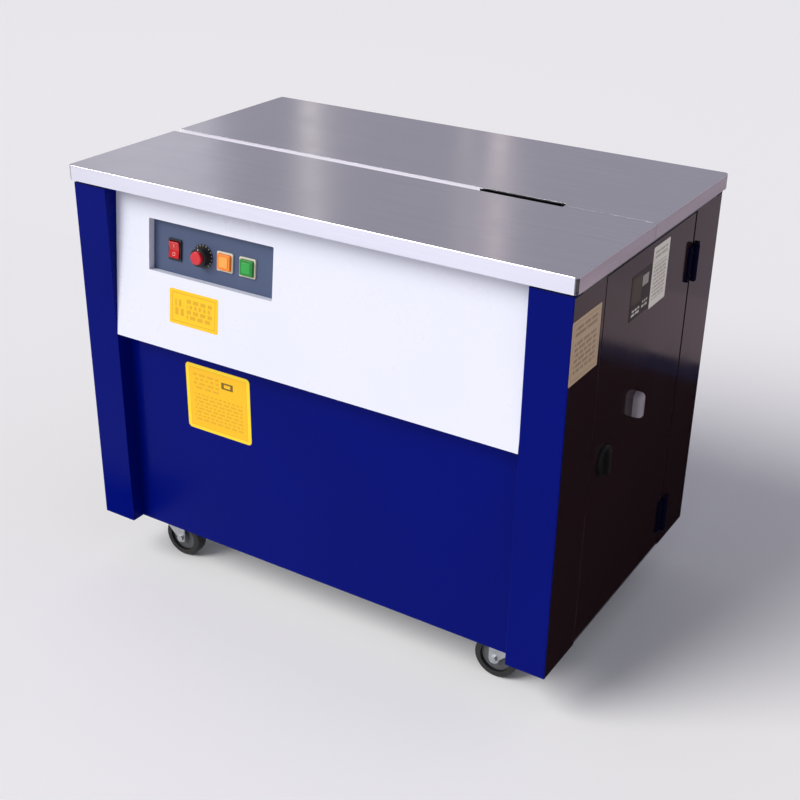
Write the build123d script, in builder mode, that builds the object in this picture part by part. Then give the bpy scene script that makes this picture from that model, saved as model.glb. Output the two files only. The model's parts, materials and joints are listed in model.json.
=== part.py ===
from build123d import *
import math
import os

os.makedirs("parts", exist_ok=True)

# Semi-automatic strapping machine with a high table.
# Millimetres. +X is the operator's right, -Y faces the operator, +Z is up.
# The origin is on the floor under the middle of the table.

# Overall sizes
table_width = 895
table_depth = 570
table_height = 735

# Table plates
table_sheet = 2
table_overhang = 5
skirt_height = 25
table_corner = 6
pivot_inset = 8
pivot_pin_radius = 2.5
pivot_boss_radius = 5
seam = 0.6
slot_width = 16
slot_centre_y = -22
slot_left_x = 160
slot_right_x = 303
groove_depth = 11

# Cabinet
sheet = 1.5
plate = 3
tube = 25
rail_lap = 19
frame_drop = 38
caster_height = 90
front_recess = 25
post_width = 66.5
fascia_bottom_z = 455
strip_front = 103
strip_rear = 112
door_depth = 18
door_gap = 2
hinge_gap = 5
swing_gap = 0.7
weld_gap = 0.2
joint_gap = 0.3
running_gap = 0.05

# Control panel
cutout_width = 246.5
cutout_height = 85
cutout_left_x = -305.5
cutout_drop = 69
pocket_depth = 12
rocker_x = -260
knob_x = -204
reset_x = -159
feed_x = -115
control_drop = 3
button_size = 25
button_frame = 3

# Door hardware
hinge_height = 58
hinge_leaf = 20
hinge_radius = 5
hinge_low_inset = 60
hinge_high_inset = 82
latch_drop = 1
latch_radius = 24
pull_width = 20
pull_height = 50
pull_mouth = 11
pull_depth = 14
pull_round = 8
pull_y = -18
pull_rise = 42

# Casters
wheel_radius = 37.5
wheel_width = 24
caster_trail = 27
caster_inset_x = 90.5
caster_inset_y = 80

# Strapping head and drive
head_plate = 8
head_height = 124
head_front_y = -84
head_rear_y = 76
cam_shaft_radius = 8
cam_radius = 22
cam_offset = 5
slider_width = 16
press_width = 20
slider_depth = 30
slider_travel = 6
motor_radius = 50
motor_length = 170
motor_y = 80
motor_pulley_radius = 26
shaft_pulley_radius = 56
pulley_width = 16
belt_width = 9
feed_radius = 25
pinch_radius = 20
roller_width = 20
strap_thickness = 0.8

# Strap reel
reel_radius = 215
reel_core_radius = 100
reel_width = 180
reel_flange = 4
reel_x = 190
reel_clearance = 37
reel_shaft_radius = 10

# Levels and planes that follow from the sizes
half_x = table_width / 2 - table_overhang
half_y = table_depth / 2 - table_overhang
skirt_z = table_height - skirt_height
sheet_z = table_height - table_sheet
pivot_y = table_depth / 2 - pivot_inset
pivot_z = skirt_z + pivot_inset
cabinet_top = pivot_z - pivot_inset * math.sqrt(2) - swing_gap
rail_z = cabinet_top - plate
deck_z = caster_height + plate
reel_z = deck_z + reel_radius + reel_clearance
cutout_top_z = table_height - cutout_drop
panel_y = half_y - front_recess
inner_y = panel_y - sheet
post_x = half_x - post_width
upright_x = half_x - door_depth - 0.5 - tube / 2
upright_y = inner_y - tube / 2
rail_x = half_x - post_width + rail_lap
slot_front_y = slot_centre_y - slot_width / 2
slot_rear_y = slot_centre_y + slot_width / 2
head_x = (slot_left_x + slot_right_x) / 2
strap_y = slot_centre_y
fascia_top_z = rail_z + sheet
tilt = math.atan(front_recess / (fascia_top_z - fascia_bottom_z))
door_front_y = -half_y + strip_front + door_gap
door_rear_y = half_y - strip_rear - hinge_gap


def save(part, name):
    part.label = name
    export_step(part, "parts/" + name + ".step")


def box(x0, x1, y0, y1, z0, z1):
    with Locations(((x0 + x1) / 2, (y0 + y1) / 2, (z0 + z1) / 2)):
        Box(x1 - x0, y1 - y0, z1 - z0)


def cut_box(x0, x1, y0, y1, z0, z1):
    with Locations(((x0 + x1) / 2, (y0 + y1) / 2, (z0 + z1) / 2)):
        Box(x1 - x0, y1 - y0, z1 - z0, mode=Mode.SUBTRACT)


# Base plate: the floor of the cabinet, on the casters
with BuildPart() as base_plate:
    box(-half_x + sheet, half_x - sheet, -inner_y, inner_y, caster_height, deck_z)
    fillet(base_plate.edges().filter_by(Axis.Z), 2)
save(base_plate.part, "base_plate")

# Inner frame: four square uprights with foot rails between them
with BuildPart() as inner_frame:
    with BuildSketch(Plane.XY.offset(deck_z)):
        with GridLocations(2 * upright_x, 2 * upright_y, 2, 2):
            Rectangle(tube, tube)
            Rectangle(tube - 2 * plate, tube - 2 * plate, mode=Mode.SUBTRACT)
    extrude(amount=rail_z - deck_z)
    foot_x = upright_x - tube / 2 - weld_gap
    foot_y = upright_y - tube / 2 - weld_gap
    for side in (-1, 1):
        y = side * upright_y
        box(-foot_x, foot_x, y - tube / 2, y + tube / 2, deck_z, deck_z + tube)
        x = side * upright_x
        box(x - tube / 2, x + tube / 2, -foot_y, foot_y, deck_z, deck_z + tube)
save(inner_frame.part, "inner_frame")


# Corner posts: folded channels, open towards the inside of the cabinet
def post_pair(side):
    face_y = side * half_y
    back_y = side * inner_y
    with BuildPart() as posts:
        for hand in (-1, 1):
            with BuildSketch(Plane.XY.offset(caster_height)):
                with BuildLine():
                    Polyline(
                        (hand * post_x, back_y),
                        (hand * post_x, face_y),
                        (hand * half_x, face_y),
                        (hand * half_x, face_y - side * sheet),
                        (hand * (half_x - sheet), face_y - side * sheet),
                        (hand * (half_x - sheet), back_y),
                        (hand * (half_x - 2 * sheet), back_y),
                        (hand * (half_x - 2 * sheet), face_y - side * sheet),
                        (hand * (post_x + sheet), face_y - side * sheet),
                        (hand * (post_x + sheet), back_y),
                        close=True,
                    )
                make_face()
            extrude(amount=cabinet_top - caster_height)
        outer = posts.edges().filter_by(Axis.Z).group_by(Axis.Y)[0 if side < 0 else -1]
        fillet(outer, sheet * 0.6)
    return posts.part


save(post_pair(-1), "front_posts")
save(post_pair(1), "rear_posts")


# Side strips: fixed panels in front of and behind each door, with a flange at the door
def side_strips(hand):
    outer = hand * half_x
    inner = hand * (half_x - sheet)
    lip = hand * (half_x - door_depth + 0.5)
    with BuildPart() as strips:
        for side, width in ((-1, strip_front), (1, strip_rear)):
            end_y = side * (half_y - sheet)
            door_y = side * (half_y - width)
            y0 = min(end_y, door_y)
            y1 = max(end_y, door_y)
            box(min(outer, inner), max(outer, inner), y0, y1, caster_height, rail_z)
            y0 = min(door_y, door_y + side * sheet)
            box(min(lip, inner), max(lip, inner), y0, y0 + sheet, deck_z, rail_z)
    return strips.part


save(side_strips(1), "right_side_strips")
save(side_strips(-1), "left_side_strips")

# Top frame: angle sections round the cabinet and cross rails that carry the head
cross_width = 15
motor_rail_x = -75
slot_lap = 6
cross_top = rail_z - 5
cross_height = 25
cross_xs = (
    motor_rail_x + cross_width / 2,
    slot_left_x + slot_lap - cross_width / 2,
    slot_right_x - slot_lap + cross_width / 2,
)
with BuildPart() as top_frame:
    for hand in (-1, 1):
        with BuildSketch(Plane.XZ.offset(-inner_y)):
            with BuildLine():
                Polyline(
                    (hand * rail_x, cabinet_top),
                    (hand * half_x, cabinet_top),
                    (hand * half_x, rail_z),
                    (hand * (rail_x + plate), rail_z),
                    (hand * (rail_x + plate), rail_z - frame_drop),
                    (hand * rail_x, rail_z - frame_drop),
                    close=True,
                )
            make_face()
        extrude(amount=2 * inner_y)
    for side in (-1, 1):
        with BuildSketch(Plane.YZ.offset(-rail_x + weld_gap)):
            with BuildLine():
                Polyline(
                    (side * inner_y, rail_z),
                    (side * (inner_y - tube), rail_z),
                    (side * (inner_y - tube), rail_z - plate),
                    (side * (inner_y - plate), rail_z - plate),
                    (side * (inner_y - plate), rail_z - tube),
                    (side * inner_y, rail_z - tube),
                    close=True,
                )
            make_face()
        extrude(amount=2 * (rail_x - weld_gap))
    cross_y = inner_y - plate - weld_gap
    for x in cross_xs:
        box(x - cross_width / 2, x + cross_width / 2, -cross_y, cross_y, cross_top - cross_height, cross_top)
save(top_frame.part, "top_frame")

# Lower front panel: a tray whose upper edge runs up behind the fascia
panel_x = post_x - joint_gap
panel_top_z = fascia_bottom_z + tube
with BuildPart() as front_panel:
    box(-panel_x, panel_x, -panel_y, -inner_y, caster_height, panel_top_z)
    for hand in (-1, 1):
        x0 = min(hand * panel_x, hand * (panel_x - sheet))
        box(x0, x0 + sheet, -inner_y, -inner_y + 16, deck_z + tube + 2, panel_top_z)
save(front_panel.part, "front_panel")

# Control fascia: leans back towards the table and stands proud of the lower panel
fascia_x = post_x - joint_gap - weld_gap
lean = sheet / math.cos(tilt)
return_y = -panel_y - joint_gap
side_top_z = fascia_top_z - (lean + joint_gap) / math.tan(tilt)
with BuildPart() as control_fascia:
    with BuildSketch(Plane.YZ.offset(-fascia_x)):
        with BuildLine():
            Polyline(
                (-panel_y, fascia_top_z),
                (-half_y, fascia_bottom_z),
                (return_y, fascia_bottom_z),
                (return_y, side_top_z),
                (-panel_y + lean - math.tan(tilt) * sheet, fascia_top_z - sheet),
                (-inner_y + 18, fascia_top_z - sheet),
                (-inner_y + 18, fascia_top_z),
                close=True,
            )
        make_face()
    extrude(amount=2 * fascia_x)
    with BuildSketch(Plane.YZ.offset(-fascia_x + sheet)):
        inner_top = fascia_top_z - sheet
        inner_bottom = fascia_bottom_z + sheet
        with BuildLine():
            Polyline(
                (-panel_y + lean - math.tan(tilt) * sheet, inner_top),
                (-half_y + lean + math.tan(tilt) * sheet, inner_bottom),
                (-inner_y, inner_bottom),
                (-inner_y, inner_top),
                close=True,
            )
        make_face()
    extrude(amount=2 * (fascia_x - sheet), mode=Mode.SUBTRACT)
    # cut-out for the control panel, square to the leaning face
    cutout_x = cutout_left_x + cutout_width / 2
    cutout_z = cutout_top_z - cutout_height * math.cos(tilt) / 2
    cutout_y = -panel_y - math.tan(tilt) * (fascia_top_z - cutout_z)
    face_normal = (0, -math.cos(tilt), math.sin(tilt))
    face_plane = Plane(origin=(cutout_x, cutout_y, cutout_z), x_dir=(1, 0, 0), z_dir=face_normal)
    with BuildSketch(face_plane.offset(5)):
        RectangleRounded(cutout_width, cutout_height, 2)
    extrude(amount=-12, mode=Mode.SUBTRACT)
save(control_fascia.part, "control_fascia")

# Control pocket: the walls behind the cut-out
with BuildPart() as control_pocket:
    with BuildSketch(face_plane.offset(-sheet)):
        RectangleRounded(cutout_width + 2 * sheet, cutout_height + 2 * sheet, 2 + sheet)
        RectangleRounded(cutout_width, cutout_height, 2, mode=Mode.SUBTRACT)
    extrude(amount=-(pocket_depth - sheet))
save(control_pocket.part, "control_pocket")

# Control plate: the bottom of the pocket, which carries the switches
rocker_width = 20
rocker_height = 26
rocker_frame = 3
knob_radius = 15.5
knob_shaft_radius = 3
cap_radius = knob_radius - 5
rocker_at = (rocker_x - cutout_x, -control_drop)
knob_at = (knob_x - cutout_x, -control_drop)
reset_at = (reset_x - cutout_x, -control_drop)
feed_at = (feed_x - cutout_x, -control_drop)
button_gap = 0.3
rocker_swing_gap = 1.5
plate_plane = face_plane.offset(-pocket_depth)
button_hole = button_size + 2 * button_gap
rocker_hole_width = rocker_width + 2 * button_gap
rocker_hole_height = rocker_height + 2 * rocker_swing_gap
with BuildPart() as control_plate:
    with BuildSketch(plate_plane):
        RectangleRounded(cutout_width + 2 * sheet, cutout_height + 2 * sheet, 2 + sheet)
        with Locations(rocker_at):
            Rectangle(rocker_hole_width, rocker_hole_height, mode=Mode.SUBTRACT)
        with Locations(knob_at):
            Circle(knob_shaft_radius + running_gap, mode=Mode.SUBTRACT)
        with Locations(reset_at, feed_at):
            Rectangle(button_hole, button_hole, mode=Mode.SUBTRACT)
    extrude(amount=-sheet)
save(control_plate.part, "control_plate")

# Switch frames: rocker frame, timer dial and the two button frames
frame_height = 2.5
with BuildPart() as switch_frames:
    with BuildSketch(plate_plane):
        with Locations(rocker_at):
            RectangleRounded(rocker_width + 2 * rocker_frame, rocker_hole_height + 2 * rocker_frame, 1.5)
            Rectangle(rocker_hole_width, rocker_hole_height, mode=Mode.SUBTRACT)
        with Locations(reset_at, feed_at):
            RectangleRounded(button_size + 2 * button_frame, button_size + 2 * button_frame, 2)
            Rectangle(button_hole, button_hole, mode=Mode.SUBTRACT)
    extrude(amount=frame_height)
    with BuildSketch(plate_plane):
        with Locations(knob_at):
            Circle(knob_radius + 4)
            Circle(knob_shaft_radius + running_gap, mode=Mode.SUBTRACT)
    extrude(amount=0.8)
save(switch_frames.part, "switch_frames")

# Power rocker: hinged about a line behind the control plate, two shallow facets
rocker_pivot_depth = 6
rocker_plane = Plane(
    origin=plate_plane.from_local_coords((rocker_at[0] - rocker_width / 2, rocker_at[1], 0)),
    x_dir=plate_plane.y_dir,
    z_dir=(1, 0, 0),
)
with BuildPart() as power_rocker:
    with BuildSketch(rocker_plane):
        with BuildLine():
            Polyline(
                (-rocker_height / 2, -rocker_pivot_depth),
                (-rocker_height / 2, 6),
                (0, 4),
                (rocker_height / 2, 6),
                (rocker_height / 2, -rocker_pivot_depth),
                (0, -rocker_pivot_depth - 5),
                close=True,
            )
        make_face()
    extrude(amount=rocker_width)
    fillet(power_rocker.faces().sort_by(Axis((0, 0, 0), face_normal))[-2:].edges().filter_by(Axis.X), 0.8)
save(power_rocker.part, "power_rocker")

# Timer knob: fluted skirt with a pointer, and the coloured cap on it
knob_lift = 1.4
knob_height = 12
with BuildPart() as timer_knob:
    with BuildSketch(plate_plane.offset(knob_lift)):
        with Locations(knob_at):
            Circle(knob_radius)
    extrude(amount=knob_height, taper=4)
    with BuildSketch(plate_plane.offset(knob_lift + 3)):
        with Locations(knob_at):
            with PolarLocations(knob_radius + 0.6, 12):
                Circle(1.6)
    extrude(amount=knob_height, mode=Mode.SUBTRACT)
    with BuildSketch(plate_plane.offset(-10)):
        with Locations(knob_at):
            Circle(knob_shaft_radius)
    extrude(amount=10 + knob_lift)
save(timer_knob.part, "timer_knob")

with BuildPart() as timer_cap:
    with BuildSketch(plate_plane.offset(knob_lift + knob_height)):
        with Locations(knob_at):
            Circle(cap_radius)
    extrude(amount=6)
    fillet(timer_cap.faces().sort_by(Axis((0, 0, 0), face_normal))[-1].edges(), 1.5)
save(timer_cap.part, "timer_cap")


# Push buttons: square lenses that slide in their frames
def push_button(at, name):
    with BuildPart() as button:
        with BuildSketch(plate_plane.offset(-4)):
            with Locations(at):
                RectangleRounded(button_size, button_size, 1)
        extrude(amount=4 + frame_height + 4)
        fillet(button.faces().sort_by(Axis((0, 0, 0), face_normal))[-1].edges(), 1)
    save(button.part, name)


push_button(reset_at, "reset_button")
push_button(feed_at, "feed_button")

# Rear panel: recessed between the rear posts, with two banks of vent slots
gland_x = -300
gland_z = 160
gland_radius = 5
gland_thread = 8
gland_hexagon = 12
gland_flange = 6
gland_dome = 9.5
gland_dome_length = 12
vent_length = 160
vent_width = 6
vent_pitch = 14
vents_high_z = 590
vents_low_z = 190
vents_x = 200
with BuildPart() as rear_panel:
    box(-panel_x, panel_x, inner_y, panel_y, caster_height, cabinet_top)
    with BuildSketch(Plane.XZ.offset(-panel_y)):
        with Locations((-vents_x, vents_high_z), (vents_x, vents_high_z), (vents_x, vents_low_z)):
            with GridLocations(0, vent_pitch, 1, 7):
                SlotOverall(vent_length, vent_width)
        with Locations((gland_x, gland_z)):
            Circle(gland_thread)
    extrude(amount=2 * sheet, both=True, mode=Mode.SUBTRACT)
save(rear_panel.part, "rear_panel")

# Cable gland in the rear panel: hexagon, threaded neck and dome nut
with BuildPart() as cable_gland:
    with BuildSketch(Plane.XZ.offset(-panel_y)):
        with Locations((gland_x, gland_z)):
            RegularPolygon(gland_hexagon, 6)
    extrude(amount=-gland_flange)
    with BuildSketch(Plane.XZ.offset(-panel_y - gland_flange)):
        with Locations((gland_x, gland_z)):
            Circle(gland_dome)
    extrude(amount=-gland_dome_length, taper=8)
    with BuildSketch(Plane.XZ.offset(-panel_y)):
        with Locations((gland_x, gland_z)):
            Circle(gland_thread)
    extrude(amount=gland_thread)
    with BuildSketch(Plane.XZ.offset(-panel_y - gland_flange - gland_dome_length)):
        with Locations((gland_x, gland_z)):
            Circle(gland_radius)
    extrude(amount=30, mode=Mode.SUBTRACT)
save(cable_gland.part, "cable_gland")

# Strap guide: the floor of the groove from the left edge of the table to the head
guide_top = table_height - groove_depth
guide_y0 = slot_front_y + 0.5
guide_y1 = slot_rear_y - 0.5
with BuildPart() as strap_guide:
    box(-half_x + table_overhang, slot_left_x, guide_y0, guide_y1, guide_top - sheet, guide_top)
    for y in (guide_y0, guide_y1 - sheet):
        box(-rail_x + 5, slot_left_x - 5, y, y + sheet, cross_top, guide_top - sheet)
save(strap_guide.part, "strap_guide")


# Table plates: folded trays with hinge lugs under the outer skirt
arm_thickness = 5
lug_thickness = 4
hinge_x = post_x + 26.5
lug_x = hinge_x + arm_thickness + joint_gap
window_left = slot_left_x - 5
window_right = slot_right_x + 5


def tray_points(side, inset):
    outer_y = side * (table_depth / 2 - inset)
    slot_y = slot_centre_y + side * (slot_width / 2 + inset)
    seam_y = slot_centre_y + side * (seam / 2 + inset)
    left = -table_width / 2 + inset
    right = table_width / 2 - inset
    notch = slot_right_x + inset
    return [
        (left, outer_y),
        (right, outer_y),
        (right, seam_y),
        (notch, seam_y),
        (notch, slot_y),
        (left, slot_y),
    ]


def table_plate(side):
    with BuildPart() as table:
        with BuildSketch(Plane.XY.offset(skirt_z)):
            with BuildLine():
                Polyline(*tray_points(side, 0), close=True)
            make_face()
        extrude(amount=skirt_height)
        corners = table.edges().filter_by(Axis.Z).group_by(Axis.Y)[0 if side < 0 else -1]
        fillet(corners, table_corner)
        rim = table.faces().sort_by(Axis.Z)[-1].edges()
        outer_rim = rim.filter_by(lambda e: e.center().Y * side > table_depth / 2 - 2 * table_corner)
        ends = rim.filter_by(Axis.Y).filter_by(lambda e: abs(e.center().X) > table_width / 2 - 1)
        fillet(outer_rim + ends, table_sheet * 0.9)
        with BuildSketch(Plane.XY.offset(skirt_z)) as hollow:
            with BuildLine():
                Polyline(*tray_points(side, table_sheet), close=True)
            make_face()
            fillet(hollow.vertices().group_by(Axis.Y)[0 if side < 0 else -1], table_corner - table_sheet)
        extrude(amount=skirt_height - table_sheet, mode=Mode.SUBTRACT)
        # window over the head, so that nothing folded down meets the anvil
        lip_y = slot_centre_y + side * (slot_width / 2 + table_sheet)
        y0 = min(lip_y, slot_centre_y)
        y1 = max(lip_y, slot_centre_y)
        cut_box(window_left, window_right, y0, y1, skirt_z, sheet_z)
        for hand in (-1, 1):
            x0 = hand * lug_x if hand > 0 else -lug_x - lug_thickness
            with BuildSketch(Plane.YZ.offset(x0)):
                with BuildLine():
                    skin_y = side * (table_depth / 2 - table_sheet)
                    near_y = side * (pivot_y - pivot_boss_radius)
                    Polyline(
                        (skin_y, sheet_z),
                        (near_y, sheet_z),
                        (near_y, pivot_z - pivot_boss_radius),
                        (skin_y, pivot_z - pivot_boss_radius),
                        close=True,
                    )
                make_face()
                with Locations((side * pivot_y, pivot_z)):
                    Circle(pivot_pin_radius + running_gap, mode=Mode.SUBTRACT)
            extrude(amount=lug_thickness)
    return table.part


save(table_plate(-1), "front_table")
save(table_plate(1), "rear_table")

# Table hinge arms: stand on the side rails, reach out under the plates and carry the pins
arm_low = pivot_z - 3
arm_high = pivot_z + pivot_boss_radius
arm_root_y = inner_y - 12
with BuildPart() as table_hinge_arms:
    for side in (-1, 1):
        for hand in (-1, 1):
            x0 = hinge_x if hand > 0 else -hinge_x - arm_thickness
            with BuildSketch(Plane.YZ.offset(x0)):
                with BuildLine():
                    Polyline(
                        (side * pivot_y, arm_high),
                        (side * arm_root_y, arm_high),
                        (side * arm_root_y, cabinet_top),
                        (side * (arm_root_y + 10), cabinet_top),
                        (side * (arm_root_y + 10), arm_low),
                        (side * pivot_y, arm_low),
                        close=True,
                    )
                make_face()
                with Locations((side * pivot_y, pivot_z)):
                    Circle(pivot_boss_radius)
            extrude(amount=arm_thickness)
            pin_length = arm_thickness + lug_thickness + 3
            pin_x = hinge_x if hand > 0 else -hinge_x - pin_length
            with BuildSketch(Plane.YZ.offset(pin_x)):
                with Locations((side * pivot_y, pivot_z)):
                    Circle(pivot_pin_radius)
            extrude(amount=pin_length)
save(table_hinge_arms.part, "table_hinge_arms")

# Doors and their hardware. Each door is a pan hinged at its rear edge
door_low_z = caster_height + 5
door_high_z = rail_z - 2
door_mid_z = (door_low_z + door_high_z) / 2
hinge_zs = (door_low_z + hinge_low_inset, door_high_z - hinge_high_inset)
latch_z = door_mid_z - latch_drop
pull_z = door_mid_z + pull_rise
hinge_axis_x = half_x + hinge_radius + 1
hinge_axis_y = half_y - strip_rear - hinge_gap / 2
hinge_pin_radius = 2.5
leaf_sheet = 4
latch_y = door_front_y + 45
latch_shaft_radius = 6


def door_pan(hand):
    outer = hand * half_x
    back = hand * (half_x - door_depth)
    x0 = min(outer, back)
    x1 = max(outer, back)
    with BuildPart() as door:
        box(x0, x1, door_front_y, door_rear_y, door_low_z, door_high_z)
        face = door.faces().sort_by(Axis.X)[-1 if hand > 0 else 0]
        fillet(face.edges(), 1.2)
        c0 = x0 if hand > 0 else x0 + sheet
        c1 = x1 - sheet if hand > 0 else x1
        cut_box(c0, c1, door_front_y + sheet, door_rear_y - sheet, door_low_z + sheet, door_high_z - sheet)
        # stiffener across the back, with the latch bore above it
        s0 = min(hand * (half_x - sheet), hand * (half_x - door_depth + 2))
        s1 = max(hand * (half_x - sheet), hand * (half_x - door_depth + 2))
        box(s0, s1, door_front_y + sheet, door_rear_y - sheet, latch_z - 110, latch_z - 104)
        with BuildSketch(Plane.YZ):
            with Locations((latch_y, latch_z)):
                Circle(latch_shaft_radius + running_gap)
        extrude(amount=hand * (half_x + 5), mode=Mode.SUBTRACT)
    return door.part


def hinge_leaves(hand, moving):
    # moving leaf has the middle knuckle, the fixed one has the outer knuckles and the pin
    toward = -1 if moving else 1
    face = hand * half_x
    third = hinge_height / 3
    with BuildPart() as leaves:
        for centre_z in hinge_zs:
            spans = [(-1.5 * third, -third / 2), (third / 2, 1.5 * third)]
            if moving:
                spans = [(-third / 2, third / 2)]
            x0 = min(face, face + hand * leaf_sheet)
            x1 = max(face, face + hand * leaf_sheet)
            near = hinge_axis_y + toward * (hinge_radius + 0.6)
            far = hinge_axis_y + toward * hinge_leaf
            box(x0, x1, min(near, far), max(near, far), centre_z - 1.5 * third, centre_z + 1.5 * third)
            for low, high in spans:
                gap = joint_gap / 2 if moving else 0
                z0 = centre_z + low + gap + (joint_gap / 2 if not moving and low > 0 else 0)
                z1 = centre_z + high - gap - (joint_gap / 2 if not moving and low < 0 else 0)
                box(x0, x1, min(near, hinge_axis_y), max(near, hinge_axis_y), z0, z1)
                with BuildSketch(Plane.XY.offset(z0)):
                    with Locations((hand * hinge_axis_x, hinge_axis_y)):
                        Circle(hinge_radius)
                        Circle(hinge_pin_radius + running_gap, mode=Mode.SUBTRACT)
                extrude(amount=z1 - z0)
                cut_z = (z1 - z0) / 2
                with Locations((hand * hinge_axis_x, hinge_axis_y, z0 + cut_z)):
                    Cylinder(hinge_pin_radius + running_gap, z1 - z0, mode=Mode.SUBTRACT)
            if not moving:
                with Locations((hand * hinge_axis_x, hinge_axis_y, centre_z)):
                    Cylinder(hinge_pin_radius, hinge_height + 4)
                with Locations(
                    (hand * hinge_axis_x, hinge_axis_y, centre_z - hinge_height / 2 - 1),
                    (hand * hinge_axis_x, hinge_axis_y, centre_z + hinge_height / 2 + 1),
                ):
                    Cylinder(hinge_pin_radius + 1.2, 2)
    return leaves.part


def cup_pull(hand):
    # half-dome pull, open underneath for the fingers
    with BuildPart() as pull:
        with BuildSketch(Plane.YZ.offset(hand * half_x)):
            with Locations((pull_y, pull_z)):
                SlotOverall(pull_height, pull_width, rotation=90)
        extrude(amount=hand * pull_depth)
        far = pull.faces().sort_by(Axis.X)[-1 if hand > 0 else 0]
        fillet(far.edges(), pull_round)
        near = pull.faces().sort_by(Axis.X)[0 if hand > 0 else -1]
        offset(amount=-2, openings=near)
        x0 = min(hand * half_x, hand * (half_x + pull_depth + 1))
        x1 = max(hand * half_x, hand * (half_x + pull_depth + 1))
        low = pull_z - pull_height / 2
        cut_box(x0, x1, pull_y - pull_width / 2, pull_y + pull_width / 2, low, low + pull_mouth)
    return pull.part


def quarter_latch(hand):
    # round quarter-turn latch with a grip bar, and a tongue behind the door pan
    face = hand * half_x
    tongue_x = hand * (half_x - door_depth - 6)
    with BuildPart() as latch:
        with BuildSketch(Plane.YZ.offset(face + hand * joint_gap)):
            with Locations((latch_y, latch_z)):
                Circle(latch_radius)
        extrude(amount=hand * 5)
        fillet(latch.faces().sort_by(Axis.X)[-1 if hand > 0 else 0].edges(), 1.5)
        with BuildSketch(Plane.YZ.offset(face + hand * (joint_gap + 5))):
            with Locations((latch_y, latch_z)):
                RectangleRounded(10, 2 * latch_radius - 8, 4)
        extrude(amount=hand * 7)
        fillet(latch.faces().sort_by(Axis.X)[-1 if hand > 0 else 0].edges(), 1.5)
        with BuildSketch(Plane.YZ.offset(tongue_x)):
            with Locations((latch_y, latch_z)):
                Circle(latch_shaft_radius)
        extrude(amount=face + hand * joint_gap - tongue_x)
        with BuildSketch(Plane.YZ.offset(tongue_x)):
            with Locations((latch_y, latch_z)):
                Circle(9)
            with Locations((latch_y, latch_z + 31)):
                Rectangle(14, 62)
        extrude(amount=hand * 3)
    return latch.part


for hand, side_name in ((1, "right"), (-1, "left")):
    save(door_pan(hand), side_name + "_door")
    save(hinge_leaves(hand, True), side_name + "_door_hinges")
    save(cup_pull(hand), side_name + "_door_pull")
    save(quarter_latch(hand), side_name + "_door_latch")

with BuildPart() as door_hinge_leaves:
    add(hinge_leaves(1, False))
    add(hinge_leaves(-1, False))
save(door_hinge_leaves.part, "door_hinge_leaves")

# Casters: fixed plate with its kingpin, swivelling fork with the axle, and the wheel
swivel_x = half_x - caster_inset_x
swivel_y = half_y - caster_inset_y
caster_plate = 3
race_radius = 20
race_height = 7
kingpin_radius = 6
crown = 3
crown_z = 2 * wheel_radius + 1.5
axle_radius = 4
fork_gap = 1.5
fork_sheet = 2.5
pad_length = 74
pad_width = 60
pad_margin = 18
bolt_hole = 3.5
with BuildPart() as caster_plates:
    with BuildSketch(Plane.XY.offset(caster_height - caster_plate)):
        with GridLocations(2 * swivel_x, 2 * swivel_y, 2, 2):
            RectangleRounded(pad_length, pad_width, 5)
            with GridLocations(pad_length - pad_margin, pad_width - pad_margin, 2, 2):
                Circle(bolt_hole, mode=Mode.SUBTRACT)
    extrude(amount=caster_plate)
    race_z = crown_z + crown + joint_gap
    with BuildSketch(Plane.XY.offset(race_z)):
        with GridLocations(2 * swivel_x, 2 * swivel_y, 2, 2):
            Circle(race_radius)
    extrude(amount=caster_height - caster_plate - race_z)
    head_z = crown_z - joint_gap
    with BuildSketch(Plane.XY.offset(head_z)):
        with GridLocations(2 * swivel_x, 2 * swivel_y, 2, 2):
            Circle(kingpin_radius)
    extrude(amount=race_z - head_z)
    with BuildSketch(Plane.XY.offset(head_z - 4)):
        with GridLocations(2 * swivel_x, 2 * swivel_y, 2, 2):
            Circle(kingpin_radius + 2)
    extrude(amount=4)
save(caster_plates.part, "caster_plates")


def caster_fork(hand, side):
    pin_x = hand * swivel_x
    wheel_x = hand * (swivel_x - caster_trail)
    centre_y = side * swivel_y
    leg_inner = wheel_width / 2 + fork_gap
    leg_outer = leg_inner + fork_sheet
    with BuildPart() as fork:
        with BuildSketch(Plane.XY.offset(crown_z)):
            with BuildLine():
                side_line = Polyline(
                    (pin_x, centre_y + race_radius),
                    (wheel_x, centre_y + leg_outer),
                    (wheel_x, centre_y - leg_outer),
                    (pin_x, centre_y - race_radius),
                )
                RadiusArc(side_line @ 1, side_line @ 0, -hand * race_radius)
            make_face()
            with Locations((pin_x, centre_y)):
                Circle(kingpin_radius + running_gap, mode=Mode.SUBTRACT)
        extrude(amount=crown)
        for y in (centre_y - leg_outer, centre_y + leg_inner):
            with BuildSketch(Plane.XZ.offset(-y)):
                with BuildLine():
                    Polyline(
                        (pin_x + hand * 10, crown_z + crown),
                        (wheel_x - hand * 9, crown_z + crown),
                        (wheel_x - hand * 9, wheel_radius),
                        (wheel_x + hand * 9, wheel_radius),
                        (pin_x + hand * 10, crown_z - 12),
                        close=True,
                    )
                make_face()
                with Locations((wheel_x, wheel_radius)):
                    Circle(9)
            extrude(amount=-fork_sheet)
        with BuildSketch(Plane.XZ.offset(-centre_y)):
            with Locations((wheel_x, wheel_radius)):
                Circle(axle_radius)
        extrude(amount=leg_outer + 1, both=True)
        with BuildSketch(Plane.XZ.offset(-centre_y + leg_outer)):
            with Locations((wheel_x, wheel_radius)):
                RegularPolygon(6.5, 6)
        extrude(amount=4)
        with BuildSketch(Plane.XZ.offset(-centre_y - leg_outer)):
            with Locations((wheel_x, wheel_radius)):
                RegularPolygon(6.5, 6)
        extrude(amount=-4)
    return fork.part


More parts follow.
